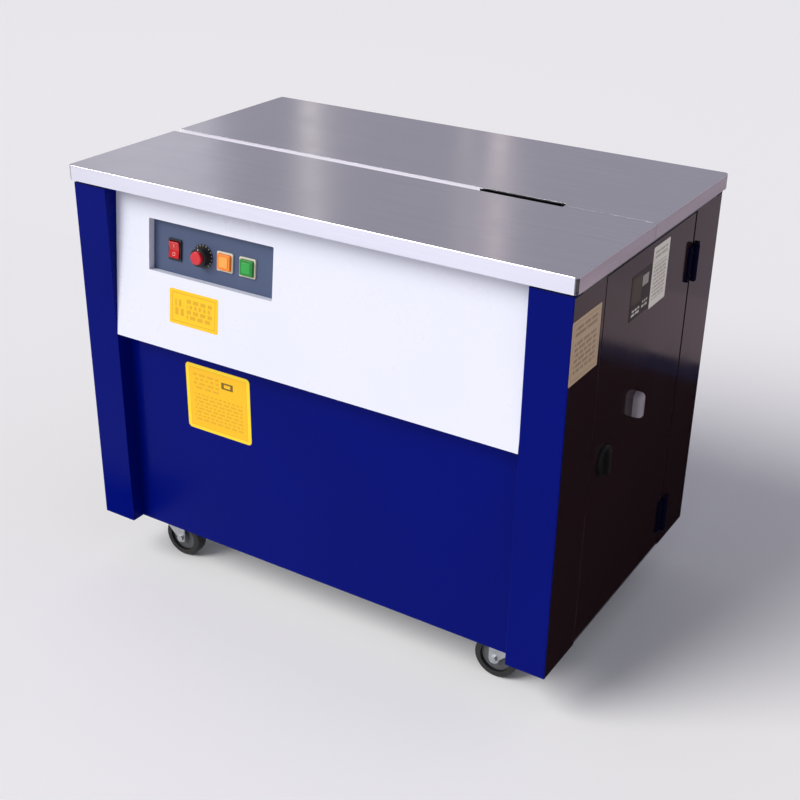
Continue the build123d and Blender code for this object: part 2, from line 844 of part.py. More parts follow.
def caster_wheel(hand, side):
    wheel_x = hand * (swivel_x - caster_trail)
    centre_y = side * swivel_y
    with BuildPart() as wheel:
        with BuildSketch(Plane.XZ.offset(-centre_y)):
            with Locations((wheel_x, wheel_radius)):
                Circle(wheel_radius)
        extrude(amount=wheel_width / 2, both=True)
        rims = wheel.edges().filter_by(GeomType.CIRCLE)
        fillet(rims, 4)
        for face_y, inward in ((centre_y - wheel_width / 2, -1), (centre_y + wheel_width / 2, 1)):
            with BuildSketch(Plane.XZ.offset(-face_y)):
                with Locations((wheel_x, wheel_radius)):
                    Circle(wheel_radius - 11)
                    Circle(11, mode=Mode.SUBTRACT)
            extrude(amount=inward * 6, mode=Mode.SUBTRACT)
        with BuildSketch(Plane.XZ.offset(-centre_y)):
            with Locations((wheel_x, wheel_radius)):
                Circle(10)
        extrude(amount=wheel_width / 2 + fork_gap - joint_gap, both=True)
        with BuildSketch(Plane.XZ.offset(-centre_y)):
            with Locations((wheel_x, wheel_radius)):
                Circle(axle_radius + running_gap)
        extrude(amount=wheel_width, both=True, mode=Mode.SUBTRACT)
    return wheel.part


corner_names = {(-1, -1): "front_left", (1, -1): "front_right", (-1, 1): "rear_left", (1, 1): "rear_right"}
for (hand, side), corner in corner_names.items():
    save(caster_fork(hand, side), corner + "_caster_fork")
    save(caster_wheel(hand, side), corner + "_caster_wheel")

# Feed unit places, on the right of the head
feed_roller_x = cross_xs[2] + cross_width / 2 + 33
pinch_z = skirt_z - 4 - pinch_radius
feed_z = pinch_z - pinch_radius - feed_radius - strap_thickness
bracket_y0 = strap_y + roller_width / 2 + 6
bracket_thickness = 6
bracket_half = 22
roller_axle_radius = 5

# Strapping head: two plates with a guide block for the sliders and a rear shelf
head_top_z = table_height - 15
head_bottom_z = head_top_z - head_height
cam_z = head_bottom_z + 36
block_low = head_top_z - 30
block_high = head_top_z - 4
head_left = slot_left_x + 6
head_right = slot_right_x - 6
left_gripper_x = head_x - 40
right_gripper_x = head_x + 40
slider_sizes = ((left_gripper_x, slider_width), (head_x, press_width), (right_gripper_x, slider_width))
shelf_high = block_high - 4.3
motor_plate_x0 = cross_xs[0] - cross_width / 2
with BuildPart() as head_frame:
    for x in (head_left, head_right - head_plate):
        with BuildSketch(Plane.YZ.offset(x)):
            with Locations(((head_front_y + head_rear_y) / 2, (head_bottom_z + head_top_z) / 2)):
                RectangleRounded(head_rear_y - head_front_y, head_top_z - head_bottom_z, 10)
            with Locations((strap_y, cam_z)):
                Circle(cam_shaft_radius + running_gap, mode=Mode.SUBTRACT)
        extrude(amount=head_plate)
    bay_left = head_left + head_plate + weld_gap
    bay_right = head_right - head_plate - weld_gap
    with BuildSketch(Plane.XY.offset(block_low)):
        with Locations((head_x, strap_y)):
            Rectangle(bay_right - bay_left, 50)
        for x, width in slider_sizes:
            with Locations((x, strap_y)):
                Rectangle(width + 2 * joint_gap, slider_depth + 2 * joint_gap, mode=Mode.SUBTRACT)
    extrude(amount=block_high - block_low)
    box(bay_left, bay_right, head_rear_y - 46, head_rear_y, shelf_high - 8, shelf_high)
    box(bay_left, bay_right, head_front_y + 4, head_front_y + 16, head_bottom_z + 8, head_bottom_z + 24)
    box(bay_left, bay_right, head_rear_y - 16, head_rear_y - 4, head_bottom_z + 8, head_bottom_z + 24)
    # feed bracket: a plate on the right cross rail with the bores of both rollers
    with BuildSketch(Plane.XZ.offset(-bracket_y0 - bracket_thickness)):
        bracket_x = cross_xs[2] + cross_width / 2
        with BuildLine():
            Polyline(
                (bracket_x, cross_top + 6),
                (bracket_x, cross_top - cross_height),
                (feed_roller_x - bracket_half, feed_z - bracket_half),
                (feed_roller_x + bracket_half, feed_z - bracket_half),
                (feed_roller_x + bracket_half, cross_top + 6),
                close=True,
            )
        make_face()
        with Locations((feed_roller_x, feed_z), (feed_roller_x, pinch_z)):
            Circle(roller_axle_radius + running_gap, mode=Mode.SUBTRACT)
    extrude(amount=bracket_thickness)
save(head_frame.part, "head_frame")

# Cam shaft with three eccentric cams
with BuildPart() as cam_shaft:
    with BuildSketch(Plane.YZ.offset(head_left - 17)):
        with Locations((strap_y, cam_z)):
            Circle(cam_shaft_radius)
    extrude(amount=head_right + 4 - (head_left - 17))
    for index, (x, width) in enumerate(slider_sizes):
        angle = math.radians(120 * index + 30)
        with BuildSketch(Plane.YZ.offset(x - width / 2)):
            with Locations((strap_y + cam_offset * math.cos(angle), cam_z + cam_offset * math.sin(angle))):
                Circle(cam_radius)
        extrude(amount=width)
save(cam_shaft.part, "cam_shaft")


# Sliders: grippers and press, standing just clear of the highest reach of their cams
slider_low = cam_z + cam_radius + cam_offset + 0.5
slider_high = block_high + 0.5


def head_slider(x, width, name):
    with BuildPart() as slider:
        depth = slider_depth / 2
        box(x - width / 2, x + width / 2, strap_y - depth, strap_y + depth, slider_low, slider_high)
        fillet(slider.edges().filter_by(Axis.X).group_by(Axis.Z)[0], 4)
        with Locations((x, strap_y, slider_high)):
            with GridLocations(0, 6, 1, 3):
                Box(width, 2, 2, mode=Mode.SUBTRACT)
    save(slider.part, name)


for (x, width), name in zip(slider_sizes, ("left_gripper", "cutter_press", "right_gripper")):
    head_slider(x, width, name)

# Anvil: bridge plate over the sliders, on two legs that run on the guide block
anvil_low = slider_high + slider_travel + 2.5
anvil_thickness = 4.5
anvil_leg = 5
anvil_half = (bay_right - bay_left) / 2 - 3.5
anvil_reach = 24
anvil_high = anvil_low + anvil_thickness
anvil_y0 = strap_y - anvil_reach
anvil_y1 = strap_y + anvil_reach
with BuildPart() as anvil_plate:
    box(head_x - anvil_half, head_x + anvil_half, anvil_y0, anvil_y1, anvil_low, anvil_high)
    for side in (-1, 1):
        x = head_x + side * (anvil_half - anvil_leg / 2)
        box(x - anvil_leg / 2, x + anvil_leg / 2, anvil_y0, anvil_y1, block_high + joint_gap, anvil_low)
    fillet(anvil_plate.edges().filter_by(Axis.X).group_by(Axis.Z)[-1], 1)
save(anvil_plate.part, "anvil_plate")

# Heater: thin blade that slides in between the press and the anvil, on a block on the shelf
heater_low = slider_high + slider_travel + 0.5
blade = 1.5
blade_tip_y = strap_y + slider_depth / 2 + 11
with BuildPart() as heater:
    box(head_x - 6, head_x + 6, blade_tip_y, blade_tip_y + 44, heater_low, heater_low + blade)
    block_y = blade_tip_y + 40
    box(head_x - 12, head_x + 12, block_y, block_y + 22, shelf_high + joint_gap, heater_low + blade)
save(heater.part, "heater")

# Motor mounting plate, motor, gearbox and belt drive
plate_top = cross_top + 6
motor_z = cross_top - 8 - motor_radius
pulley_x0 = head_left - 48
motor_x1 = pulley_x0 - 8
motor_x0 = motor_x1 - motor_length
motor_shaft_radius = 6
motor_cowl = 34
motor_shield = 20
fin_height = 8
fin_width = 2.4
mount_half = 60
with BuildPart() as motor_mount:
    mount_y0 = motor_y - mount_half
    mount_y1 = motor_y + mount_half
    box(motor_plate_x0, head_left - joint_gap, mount_y0, mount_y1, cross_top, plate_top)
    with Locations((motor_x0 + motor_length / 2, motor_y, plate_top)):
        with GridLocations(90, 60, 2, 2):
            CounterBoreHole(3.5, 6, 3)
save(motor_mount.part, "motor_mount")

with BuildPart() as drive_motor:
    with BuildSketch(Plane.YZ.offset(motor_x0)):
        with Locations((motor_y, motor_z)):
            Circle(motor_radius - 1)
    extrude(amount=motor_cowl)
    with BuildSketch(Plane.YZ.offset(motor_x0 + motor_cowl)):
        with Locations((motor_y, motor_z)):
            Circle(motor_radius - 5)
            with PolarLocations(motor_radius - 4, 24):
                Rectangle(fin_height, fin_width)
    extrude(amount=motor_length - motor_cowl - motor_shield)
    with BuildSketch(Plane.YZ.offset(motor_x1 - motor_shield)):
        with Locations((motor_y, motor_z)):
            Circle(motor_radius - 1)
    extrude(amount=motor_shield)
    box(motor_x0 + 30, motor_x1 - 30, motor_y - 40, motor_y + 40, motor_z + motor_radius - 12, cross_top)
    with BuildSketch(Plane.YZ.offset(motor_x1)):
        with Locations((motor_y, motor_z)):
            Circle(motor_shaft_radius + running_gap)
    extrude(amount=-25, mode=Mode.SUBTRACT)
save(drive_motor.part, "drive_motor")

gearbox_x0 = pulley_x0 + pulley_width + 3
gearbox_x1 = head_left - joint_gap
split_x = head_left - 18
gearbox_radius = 39
with BuildPart() as gearbox:
    with BuildSketch(Plane.YZ.offset(gearbox_x0)):
        with Locations((strap_y, cam_z)):
            Circle(gearbox_radius)
    extrude(amount=gearbox_x1 - gearbox_x0)
    fillet(gearbox.faces().sort_by(Axis.X)[0].edges(), 3)
    with BuildSketch(Plane.YZ.offset(gearbox_x0 - 1)):
        with Locations((strap_y, cam_z)):
            Circle(motor_shaft_radius + running_gap)
    extrude(amount=split_x - gearbox_x0 + 1, mode=Mode.SUBTRACT)
    with BuildSketch(Plane.YZ.offset(split_x)):
        with Locations((strap_y, cam_z)):
            Circle(cam_shaft_radius + running_gap)
    extrude(amount=gearbox_x1 - split_x, mode=Mode.SUBTRACT)
save(gearbox.part, "gearbox")

groove_depth_v = 6
rim = (pulley_width - belt_width - 1) / 2


def belt_pulley(y, z, radius, shaft_x0, shaft_x1, name):
    with BuildPart() as pulley:
        for start, width, size in (
            (0, rim, radius),
            (rim, belt_width + 1, radius - groove_depth_v),
            (rim + belt_width + 1, rim, radius),
        ):
            with BuildSketch(Plane.YZ.offset(pulley_x0 + start)):
                with Locations((y, z)):
                    Circle(size)
            extrude(amount=width)
        with BuildSketch(Plane.YZ.offset(shaft_x0)):
            with Locations((y, z)):
                Circle(motor_shaft_radius)
        extrude(amount=shaft_x1 - shaft_x0)
    save(pulley.part, name)


belt_pulley(motor_y, motor_z, motor_pulley_radius, motor_x1 - 23, pulley_x0 + 1, "motor_pulley")
belt_pulley(strap_y, cam_z, shaft_pulley_radius, pulley_x0 + 1, split_x - 0.5, "gearbox_pulley")

# Belt: two runs tangent to both pulleys, its inside in their grooves
def tangent_points(motor_loop, shaft_loop):
    dy = strap_y - motor_y
    dz = cam_z - motor_z
    heading = math.atan2(dz, dy)
    spread = math.acos((motor_loop - shaft_loop) / math.hypot(dy, dz))
    points = []
    for y, z, loop, turn in (
        (motor_y, motor_z, motor_loop, spread),
        (strap_y, cam_z, shaft_loop, spread),
        (strap_y, cam_z, shaft_loop, -spread),
        (motor_y, motor_z, motor_loop, -spread),
    ):
        points.append((y + loop * math.cos(heading + turn), z + loop * math.sin(heading + turn)))
    return points


belt_inner = groove_depth_v - 0.4
with BuildPart() as drive_belt:
    with BuildSketch(Plane.YZ.offset(pulley_x0 + rim + 0.5)):
        for stand_off, mode in ((1, Mode.ADD), (-belt_inner, Mode.SUBTRACT)):
            motor_loop = motor_pulley_radius + stand_off
            shaft_loop = shaft_pulley_radius + stand_off
            with BuildLine():
                Polyline(*tangent_points(motor_loop, shaft_loop), close=True)
            make_face(mode=mode)
            with Locations((motor_y, motor_z)):
                Circle(motor_loop, mode=mode)
            with Locations((strap_y, cam_z)):
                Circle(shaft_loop, mode=mode)
    extrude(amount=belt_width)
save(drive_belt.part, "drive_belt")


# Feed rollers: driven roller below, pinch roller above
def strap_roller(z, radius, name):
    with BuildPart() as roller:
        with BuildSketch(Plane.XZ.offset(-strap_y)):
            with Locations((feed_roller_x, z)):
                Circle(radius)
        extrude(amount=roller_width / 2, both=True)
        with BuildSketch(Plane.XZ.offset(-bracket_y0 + joint_gap)):
            with Locations((feed_roller_x, z)):
                Circle(9)
        extrude(amount=6)
        with BuildSketch(Plane.XZ.offset(-bracket_y0 - bracket_thickness - 4)):
            with Locations((feed_roller_x, z)):
                Circle(roller_axle_radius)
        extrude(amount=bracket_thickness + 8)
    save(roller.part, name)


strap_roller(feed_z, feed_radius, "feed_roller")
strap_roller(pinch_z, pinch_radius, "pinch_roller")

# Strap reel: drum, two pierced flanges and the shaft that lies in the stand
reel_shaft_reach = 26
reel_hub = reel_shaft_radius + 8
drum_wall = 4
spoke = 6
window_radius = 32
with BuildPart() as reel_core:
    with BuildSketch(Plane.XZ.offset(-strap_y)):
        with Locations((reel_x, reel_z)):
            Circle(reel_core_radius)
            Circle(reel_core_radius - drum_wall, mode=Mode.SUBTRACT)
            Circle(reel_hub)
            with PolarLocations(reel_core_radius / 2 + 5, 3):
                Rectangle(reel_core_radius - drum_wall, spoke)
    extrude(amount=reel_width / 2, both=True)
    with BuildSketch(Plane.XZ.offset(-strap_y)):
        with Locations((reel_x, reel_z)):
            Circle(reel_shaft_radius)
    extrude(amount=reel_width / 2 + reel_shaft_reach, both=True)
save(reel_core.part, "reel_core")

with BuildPart() as reel_flanges:
    for side in (-1, 1):
        face_y = strap_y + side * reel_width / 2
        with BuildSketch(Plane.XZ.offset(-face_y)):
            with Locations((reel_x, reel_z)):
                Circle(reel_radius)
                Circle(reel_shaft_radius, mode=Mode.SUBTRACT)
                with PolarLocations((reel_radius + reel_core_radius) / 2, 6, start_angle=15):
                    Circle(window_radius, mode=Mode.SUBTRACT)
        extrude(amount=-side * reel_flange)
save(reel_flanges.part, "reel_flanges")

# Reel stand: two uprights with open-topped slots for the shaft
stand_foot = 70
stand_neck = 28
stand_lip = 30
stand_sheet = 5
stand_flange = 24
with BuildPart() as reel_stand:
    for side in (-1, 1):
        face_y = strap_y + side * (reel_width / 2 + reel_flange + stand_sheet)
        slot_radius = reel_shaft_radius + running_gap
        with BuildSketch(Plane.XZ.offset(-face_y)):
            with BuildLine():
                Polyline(
                    (reel_x - stand_foot, deck_z),
                    (reel_x - stand_neck, reel_z + stand_lip),
                    (reel_x - slot_radius, reel_z + stand_lip),
                    (reel_x - slot_radius, reel_z),
                    (reel_x + slot_radius, reel_z),
                    (reel_x + slot_radius, reel_z + stand_lip),
                    (reel_x + stand_neck, reel_z + stand_lip),
                    (reel_x + stand_foot, deck_z),
                    close=True,
                )
            make_face()
            with Locations((reel_x, reel_z)):
                Circle(slot_radius, mode=Mode.SUBTRACT)
            with Locations((reel_x, (deck_z + reel_z) / 2 - 20)):
                SlotCenterToCenter(90, 36, rotation=90, mode=Mode.SUBTRACT)
        extrude(amount=-side * stand_sheet)
        foot_y = face_y + side * stand_sheet
        y0 = min(foot_y, foot_y + side * stand_flange)
        y1 = max(foot_y, foot_y + side * stand_flange)
        box(reel_x - stand_foot, reel_x + stand_foot, y0, y1, deck_z, deck_z + stand_sheet)
save(reel_stand.part, "reel_stand")

# Control box: folded enclosure with a lid, fixed inside the rear panel
box_depth = 95
box_width = 230
box_height = 290
box_left = 35
box_rise = 140
lid_lap = 2
with BuildPart() as control_box:
    x0 = -rail_x + box_left
    x1 = x0 + box_width
    z0 = deck_z + box_rise
    z1 = z0 + box_height
    box(x0, x1, inner_y - box_depth, inner_y, z0, z1)
    fillet(control_box.edges().filter_by(Axis.Y), 4)
    offset(amount=-sheet, openings=control_box.faces().sort_by(Axis.Y)[-1])
    lid_y = inner_y - box_depth
    box(x0 - lid_lap, x1 + lid_lap, lid_y - lid_lap, lid_y, z0 - lid_lap, z1 + lid_lap)
save(control_box.part, "control_box")
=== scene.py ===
import json
import math

import bpy
from mathutils import Matrix, Vector


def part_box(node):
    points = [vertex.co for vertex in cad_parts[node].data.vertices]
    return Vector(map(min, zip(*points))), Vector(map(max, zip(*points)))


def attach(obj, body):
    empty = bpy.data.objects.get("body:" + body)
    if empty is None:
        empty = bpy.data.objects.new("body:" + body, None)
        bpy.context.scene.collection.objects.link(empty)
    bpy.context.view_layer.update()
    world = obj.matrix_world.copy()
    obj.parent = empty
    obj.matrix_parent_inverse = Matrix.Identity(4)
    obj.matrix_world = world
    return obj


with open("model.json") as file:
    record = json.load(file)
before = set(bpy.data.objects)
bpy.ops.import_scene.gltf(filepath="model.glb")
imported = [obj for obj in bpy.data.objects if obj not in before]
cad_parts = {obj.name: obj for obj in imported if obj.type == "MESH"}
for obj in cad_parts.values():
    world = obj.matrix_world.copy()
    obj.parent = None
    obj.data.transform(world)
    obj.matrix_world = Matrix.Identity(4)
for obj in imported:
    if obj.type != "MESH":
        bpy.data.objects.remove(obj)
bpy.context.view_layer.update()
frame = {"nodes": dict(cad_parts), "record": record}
nodes = frame["nodes"]
joints = {joint["name"]: joint for joint in frame["record"]["behaviour"]["joints"]}
mm = 0.001
print("frame loaded:", len(nodes), "nodes")


# Places that many pieces share, all read from the frame
def lowOf(node):
    return Vector(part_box(node)[0])


def highOf(node):
    return Vector(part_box(node)[1])


tableHigh, panelLow, doorHigh = highOf("rear_table"), lowOf("front_panel"), highOf("right_door")
platePoint = Vector(joints["timer_knob_turn"]["pos_m"])      # on the control plate, under the knob
faceNormal = Vector(joints["timer_knob_turn"]["axis"]).normalized()
faceUp = Vector((0, faceNormal.z, -faceNormal.y))
plateTurn = Matrix((Vector((1, 0, 0)), faceUp, faceNormal)).transposed().to_4x4()
pocketDepth = 12 * mm
close = 0.01 * mm                                            # two places nearer than this are the same


# ---- small helpers for making pieces

def nothingSelected():
    if bpy.context.object and bpy.context.object.mode != "OBJECT":
        bpy.ops.object.mode_set(mode="OBJECT")
    bpy.ops.object.select_all(action="DESELECT")


def chooseOnly(piece):
    nothingSelected()
    piece.select_set(True)
    bpy.context.view_layer.objects.active = piece


def settle(piece):
    # place, turn and size go into the mesh, so the object stays at the origin
    chooseOnly(piece)
    bpy.ops.object.transform_apply(location=True, rotation=True, scale=True)


def selectEdges(piece, test):
    # leaves edit mode on, with only the edges that pass the test selected
    chooseOnly(piece)
    bpy.ops.object.mode_set(mode="EDIT")
    bpy.ops.mesh.select_mode(type="EDGE")
    bpy.ops.mesh.select_all(action="DESELECT")
    bpy.ops.object.mode_set(mode="OBJECT")
    points = piece.data.vertices
    for edge in piece.data.edges:
        edge.select = test(points[edge.vertices[0]].co, points[edge.vertices[1]].co)
    bpy.ops.object.mode_set(mode="EDIT")


def selectFaces(piece, test):
    chooseOnly(piece)
    bpy.ops.object.mode_set(mode="EDIT")
    bpy.ops.mesh.select_mode(type="FACE")
    bpy.ops.mesh.select_all(action="DESELECT")
    bpy.ops.object.mode_set(mode="OBJECT")
    for face in piece.data.polygons:
        face.select = test(face)
    bpy.ops.object.mode_set(mode="EDIT")


def leaveEdit(piece, angle=35):
    bpy.ops.object.mode_set(mode="OBJECT")
    chooseOnly(piece)
    bpy.ops.object.shade_smooth_by_angle(angle=math.radians(angle))


def addBlock(name, low, high):
    # a block between two corners, ready for edit mode
    nothingSelected()
    low, high = Vector(low), Vector(high)
    bpy.ops.mesh.primitive_cube_add(size=1, location=(low + high) / 2)
    piece = bpy.context.object
    piece.name = name
    piece.dimensions = high - low
    settle(piece)
    return piece


def finishPiece(piece, body, material):
    piece.data.materials.clear()
    piece.data.materials.append(material)
    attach(piece, body)


def moveMesh(piece, matrix):
    piece.data.transform(matrix)
    piece.data.update()


def modify(piece, kind, **settings):
    # one modifier, added and applied
    modifier = piece.modifiers.new(kind.lower(), kind)
    for name, value in settings.items():
        setattr(modifier, name, value)
    chooseOnly(piece)
    bpy.ops.object.modifier_apply(modifier=modifier.name)


def bevelEdges(piece, test, offset, segments, angle=35):
    selectEdges(piece, test)
    bpy.ops.mesh.bevel(offset=offset, segments=segments)
    leaveEdit(piece, angle)


def sinkFaces(piece, test, inset, shift=None):
    # insets the faces that pass the test, and moves what is left of them
    selectFaces(piece, test)
    bpy.ops.mesh.inset(thickness=inset)
    if shift:
        bpy.ops.transform.translate(value=shift)
    leaveEdit(piece)


def facesUp(face):
    return face.normal.z > 0.9


def addCylinder(radius, depth, place, vertices, **turn):
    nothingSelected()
    bpy.ops.mesh.primitive_cylinder_add(vertices=vertices, radius=radius, depth=depth, location=place, **turn)
    piece = bpy.context.object
    settle(piece)
    return piece


def addSheet(name, place, size):
    nothingSelected()
    bpy.ops.mesh.primitive_plane_add(size=1, location=place)
    piece = bpy.context.object
    piece.name = name
    piece.scale = (*size, 1)
    settle(piece)
    return piece


def joinPieces(pieces, name=None):
    nothingSelected()
    for piece in pieces:
        piece.select_set(True)
    bpy.context.view_layer.objects.active = pieces[0]
    bpy.ops.object.join()
    if name:
        bpy.context.object.name = name
    return bpy.context.object


def copyPiece(piece, name, matrix):
    twin = piece.copy()
    twin.data = piece.data.copy()
    twin.name = name
    bpy.context.scene.collection.objects.link(twin)
    moveMesh(twin, matrix)
    return twin


# ---- materials

def linearColour(code):
    # sRGB hex to linear
    channels = [int(code[i:i + 2], 16) / 255 for i in (1, 3, 5)]
    return [c / 12.92 if c <= 0.04045 else ((c + 0.055) / 1.055) ** 2.4 for c in channels] + [1]


def startMaterial(name):
    material = bpy.data.materials.new(name)
    material.use_nodes = True
    material.node_tree.nodes.clear()
    return material


def addNode(material, kind, settings=None, links=None):
    # settings go to the input of that name, or else to the node itself
    node = material.node_tree.nodes.new("ShaderNode" + kind)
    for name, value in (settings or {}).items():
        if isinstance(name, int) or name in node.inputs:
            node.inputs[name].default_value = value
        else:
            setattr(node, name, value)
    for name, source in (links or {}).items():
        material.node_tree.links.new(source, node.inputs[name])
    return node


def closeMaterial(material, shader):
    addNode(material, "OutputMaterial", {}, {"Surface": shader.outputs[0]})
    return material


def reckon(material, operation, *values, kind="Math", out=0, **settings):
    # each value is a number or another node's socket; gives back the socket of the answer
    links = {index: value for index, value in enumerate(values) if isinstance(value, bpy.types.NodeSocket)}
    settings["operation"] = operation
    settings.update({index: value for index, value in enumerate(values) if index not in links})
    return addNode(material, kind, settings, links).outputs[out]


def reckonVector(material, operation, *values, out=0):
    return reckon(material, operation, *values, kind="VectorMath", out=out)


def objectPlace(material):
    return addNode(material, "TexCoord").outputs["Object"]


def noiseOver(material, vector, size, detail):
    # cloudy noise, its features about so many millimetres across
    noise = addNode(material, "TexNoise", {"Scale": 1 / (size * mm), "Detail": detail}, {"Vector": vector})
    return noise.outputs["Fac"]


def rescale(material, value, low, high, start=0.3, end=0.7):
    return addNode(material, "MapRange", {"From Min": start, "From Max": end, "To Min": low, "To Max": high},
                   {"Value": value}).outputs[0]


def mixColours(material, factor, *colours):
    # each colour is a hex code or another node's socket
    mixed = addNode(material, "Mix", {"data_type": "RGBA"}, {"Factor": factor})
    for place, colour in zip(mixed.inputs[6:8], colours):
        if isinstance(colour, str):
            place.default_value = linearColour(colour)
        else:
            material.node_tree.links.new(colour, place)
    return mixed.outputs[2]


def bumpOver(material, height, strength, distance, normal):
    return addNode(material, "Bump", {"Strength": strength, "Distance": distance * mm},
                   {"Height": height, "Normal": normal}).outputs[0]


def softEdges(material, radius):
    return addNode(material, "Bevel", {"samples": 4, "Radius": radius * mm}).outputs[0]


def insideBox(material, centred, half, first, second):
    # 1 within the half sizes of the middle along two axes, and 0 elsewhere
    over = reckonVector(material, "SUBTRACT", reckonVector(material, "ABSOLUTE", centred), half)
    parts = addNode(material, "SeparateXYZ", {}, {0: over}).outputs
    return reckon(material, "LESS_THAN", reckon(material, "MAXIMUM", parts[first], parts[second]), 0.0)


def printOver(material, mask, colour):
    # a second colour over the first wherever the mask is 1
    shader = next(node for node in material.node_tree.nodes if node.type == "BSDF_PRINCIPLED")
    target = shader.inputs["Base Color"]
    mixed = mixColours(material, mask, target.links[0].from_socket, colour)
    material.node_tree.links.new(mixed, target)


wear = {"patches": 14, "patchy": 0.12, "level": 0.87, "steep": 5.0}


def edgeMask(material, rounded, place):
    # 0 on flats and 1 where a rounded normal leaves the true one, which is at the edges
    normal = addNode(material, "NewGeometry").outputs["Normal"]
    match = reckonVector(material, "DOT_PRODUCT", rounded, normal, out="Value")
    patches = noiseOver(material, place, wear["patches"], 3)
    worn = reckon(material, "MULTIPLY_ADD", patches, wear["patchy"], wear["level"])
    below = reckon(material, "SUBTRACT", worn, match, use_clamp=True)
    return reckon(material, "MULTIPLY", below, wear["steep"], use_clamp=True)


def bakedEnamel(name, finish):
    # oven-baked enamel on folded steel: deep gloss with a faint orange peel, paler where edges have rubbed
    material = startMaterial(name)
    place = objectPlace(material)
    rounded = softEdges(material, finish["edge"])
    drift = noiseOver(material, place, finish["driftSize"], 4)
    body = mixColours(material, drift, finish["colour"], finish["drift"])
    rubbed = mixColours(material, edgeMask(material, rounded, place), body, finish["rubbed"])
    dust = noiseOver(material, place, 60, 6)
    peel = noiseOver(material, place, finish["peelSize"], 1)
    shader = addNode(material, "BsdfPrincipled",
                     {"Coat Weight": finish["coat"], "Coat Roughness": 0.06, "IOR": 1.5,
                      "Specular IOR Level": finish.get("shine", 0.5)},
                     {"Base Color": rubbed, "Roughness": rescale(material, dust, *finish["rough"]),
                      "Normal": bumpOver(material, peel, finish["peel"], 0.05, rounded)})
    return closeMaterial(material, shader)


enamels = {
    "royalBlueEnamel": {"colour": "#000F78", "drift": "#000B66", "rubbed": "#3A4C9A", "driftSize": 220,
                        "edge": 0.9, "rough": (0.16, 0.26), "peelSize": 2.2, "peel": 0.12, "coat": 0.0,
                        "shine": 0.05},
    "whiteEnamel": {"colour": "#EAECF8", "drift": "#E4E7F5", "rubbed": "#D9DCE2", "driftSize": 240,
                    "edge": 0.7, "rough": (0.25, 0.36), "peelSize": 2.2, "peel": 0.15, "coat": 0.2},
    "blackEnamel": {"colour": "#2C1D20", "drift": "#25181B", "rubbed": "#4A3F42", "driftSize": 260,
                    "edge": 0.8, "rough": (0.08, 0.16), "peelSize": 2.6, "peel": 0.06, "coat": 0.0},
    "frameEnamel": {"colour": "#4A4D50", "drift": "#424548", "rubbed": "#8A8C8E", "driftSize": 90,
                    "edge": 0.9, "rough": (0.38, 0.5), "peelSize": 1.6, "peel": 0.35, "coat": 0.1},
    "boxEnamel": {"colour": "#B9BAB2", "drift": "#ADAEA7", "rubbed": "#D6D6D2", "driftSize": 70,
                  "edge": 0.9, "rough": (0.4, 0.52), "peelSize": 1.4, "peel": 0.5, "coat": 0.1},
    "hingeEnamel": {"colour": "#05052A", "drift": "#040420", "rubbed": "#12143A", "driftSize": 40,
                    "edge": 0.7, "rough": (0.62, 0.74), "peelSize": 1.6, "peel": 0.3, "coat": 0.0,
                    "shine": 0.06},
    "pocketEnamel": {"colour": "#E6E9F2", "drift": "#DCDFEA", "rubbed": "#EEF0F4", "driftSize": 60,
                     "edge": 0.5, "rough": (0.3, 0.42), "peelSize": 1.6, "peel": 0.3, "coat": 0.2},
    "slateEnamel": {"colour": "#4A5878", "drift": "#435170", "rubbed": "#6D7A96", "driftSize": 60,
                    "edge": 0.5, "rough": (0.42, 0.55), "peelSize": 1.2, "peel": 0.45, "coat": 0.0},
    "motorEnamel": {"colour": "#5B6670", "drift": "#4F5963", "rubbed": "#98A0A6", "driftSize": 50,
                    "edge": 0.9, "rough": (0.42, 0.58), "peelSize": 1.4, "peel": 0.8, "coat": 0.0},
}
enamel = {name: bakedEnamel(name, finish) for name, finish in enamels.items()}


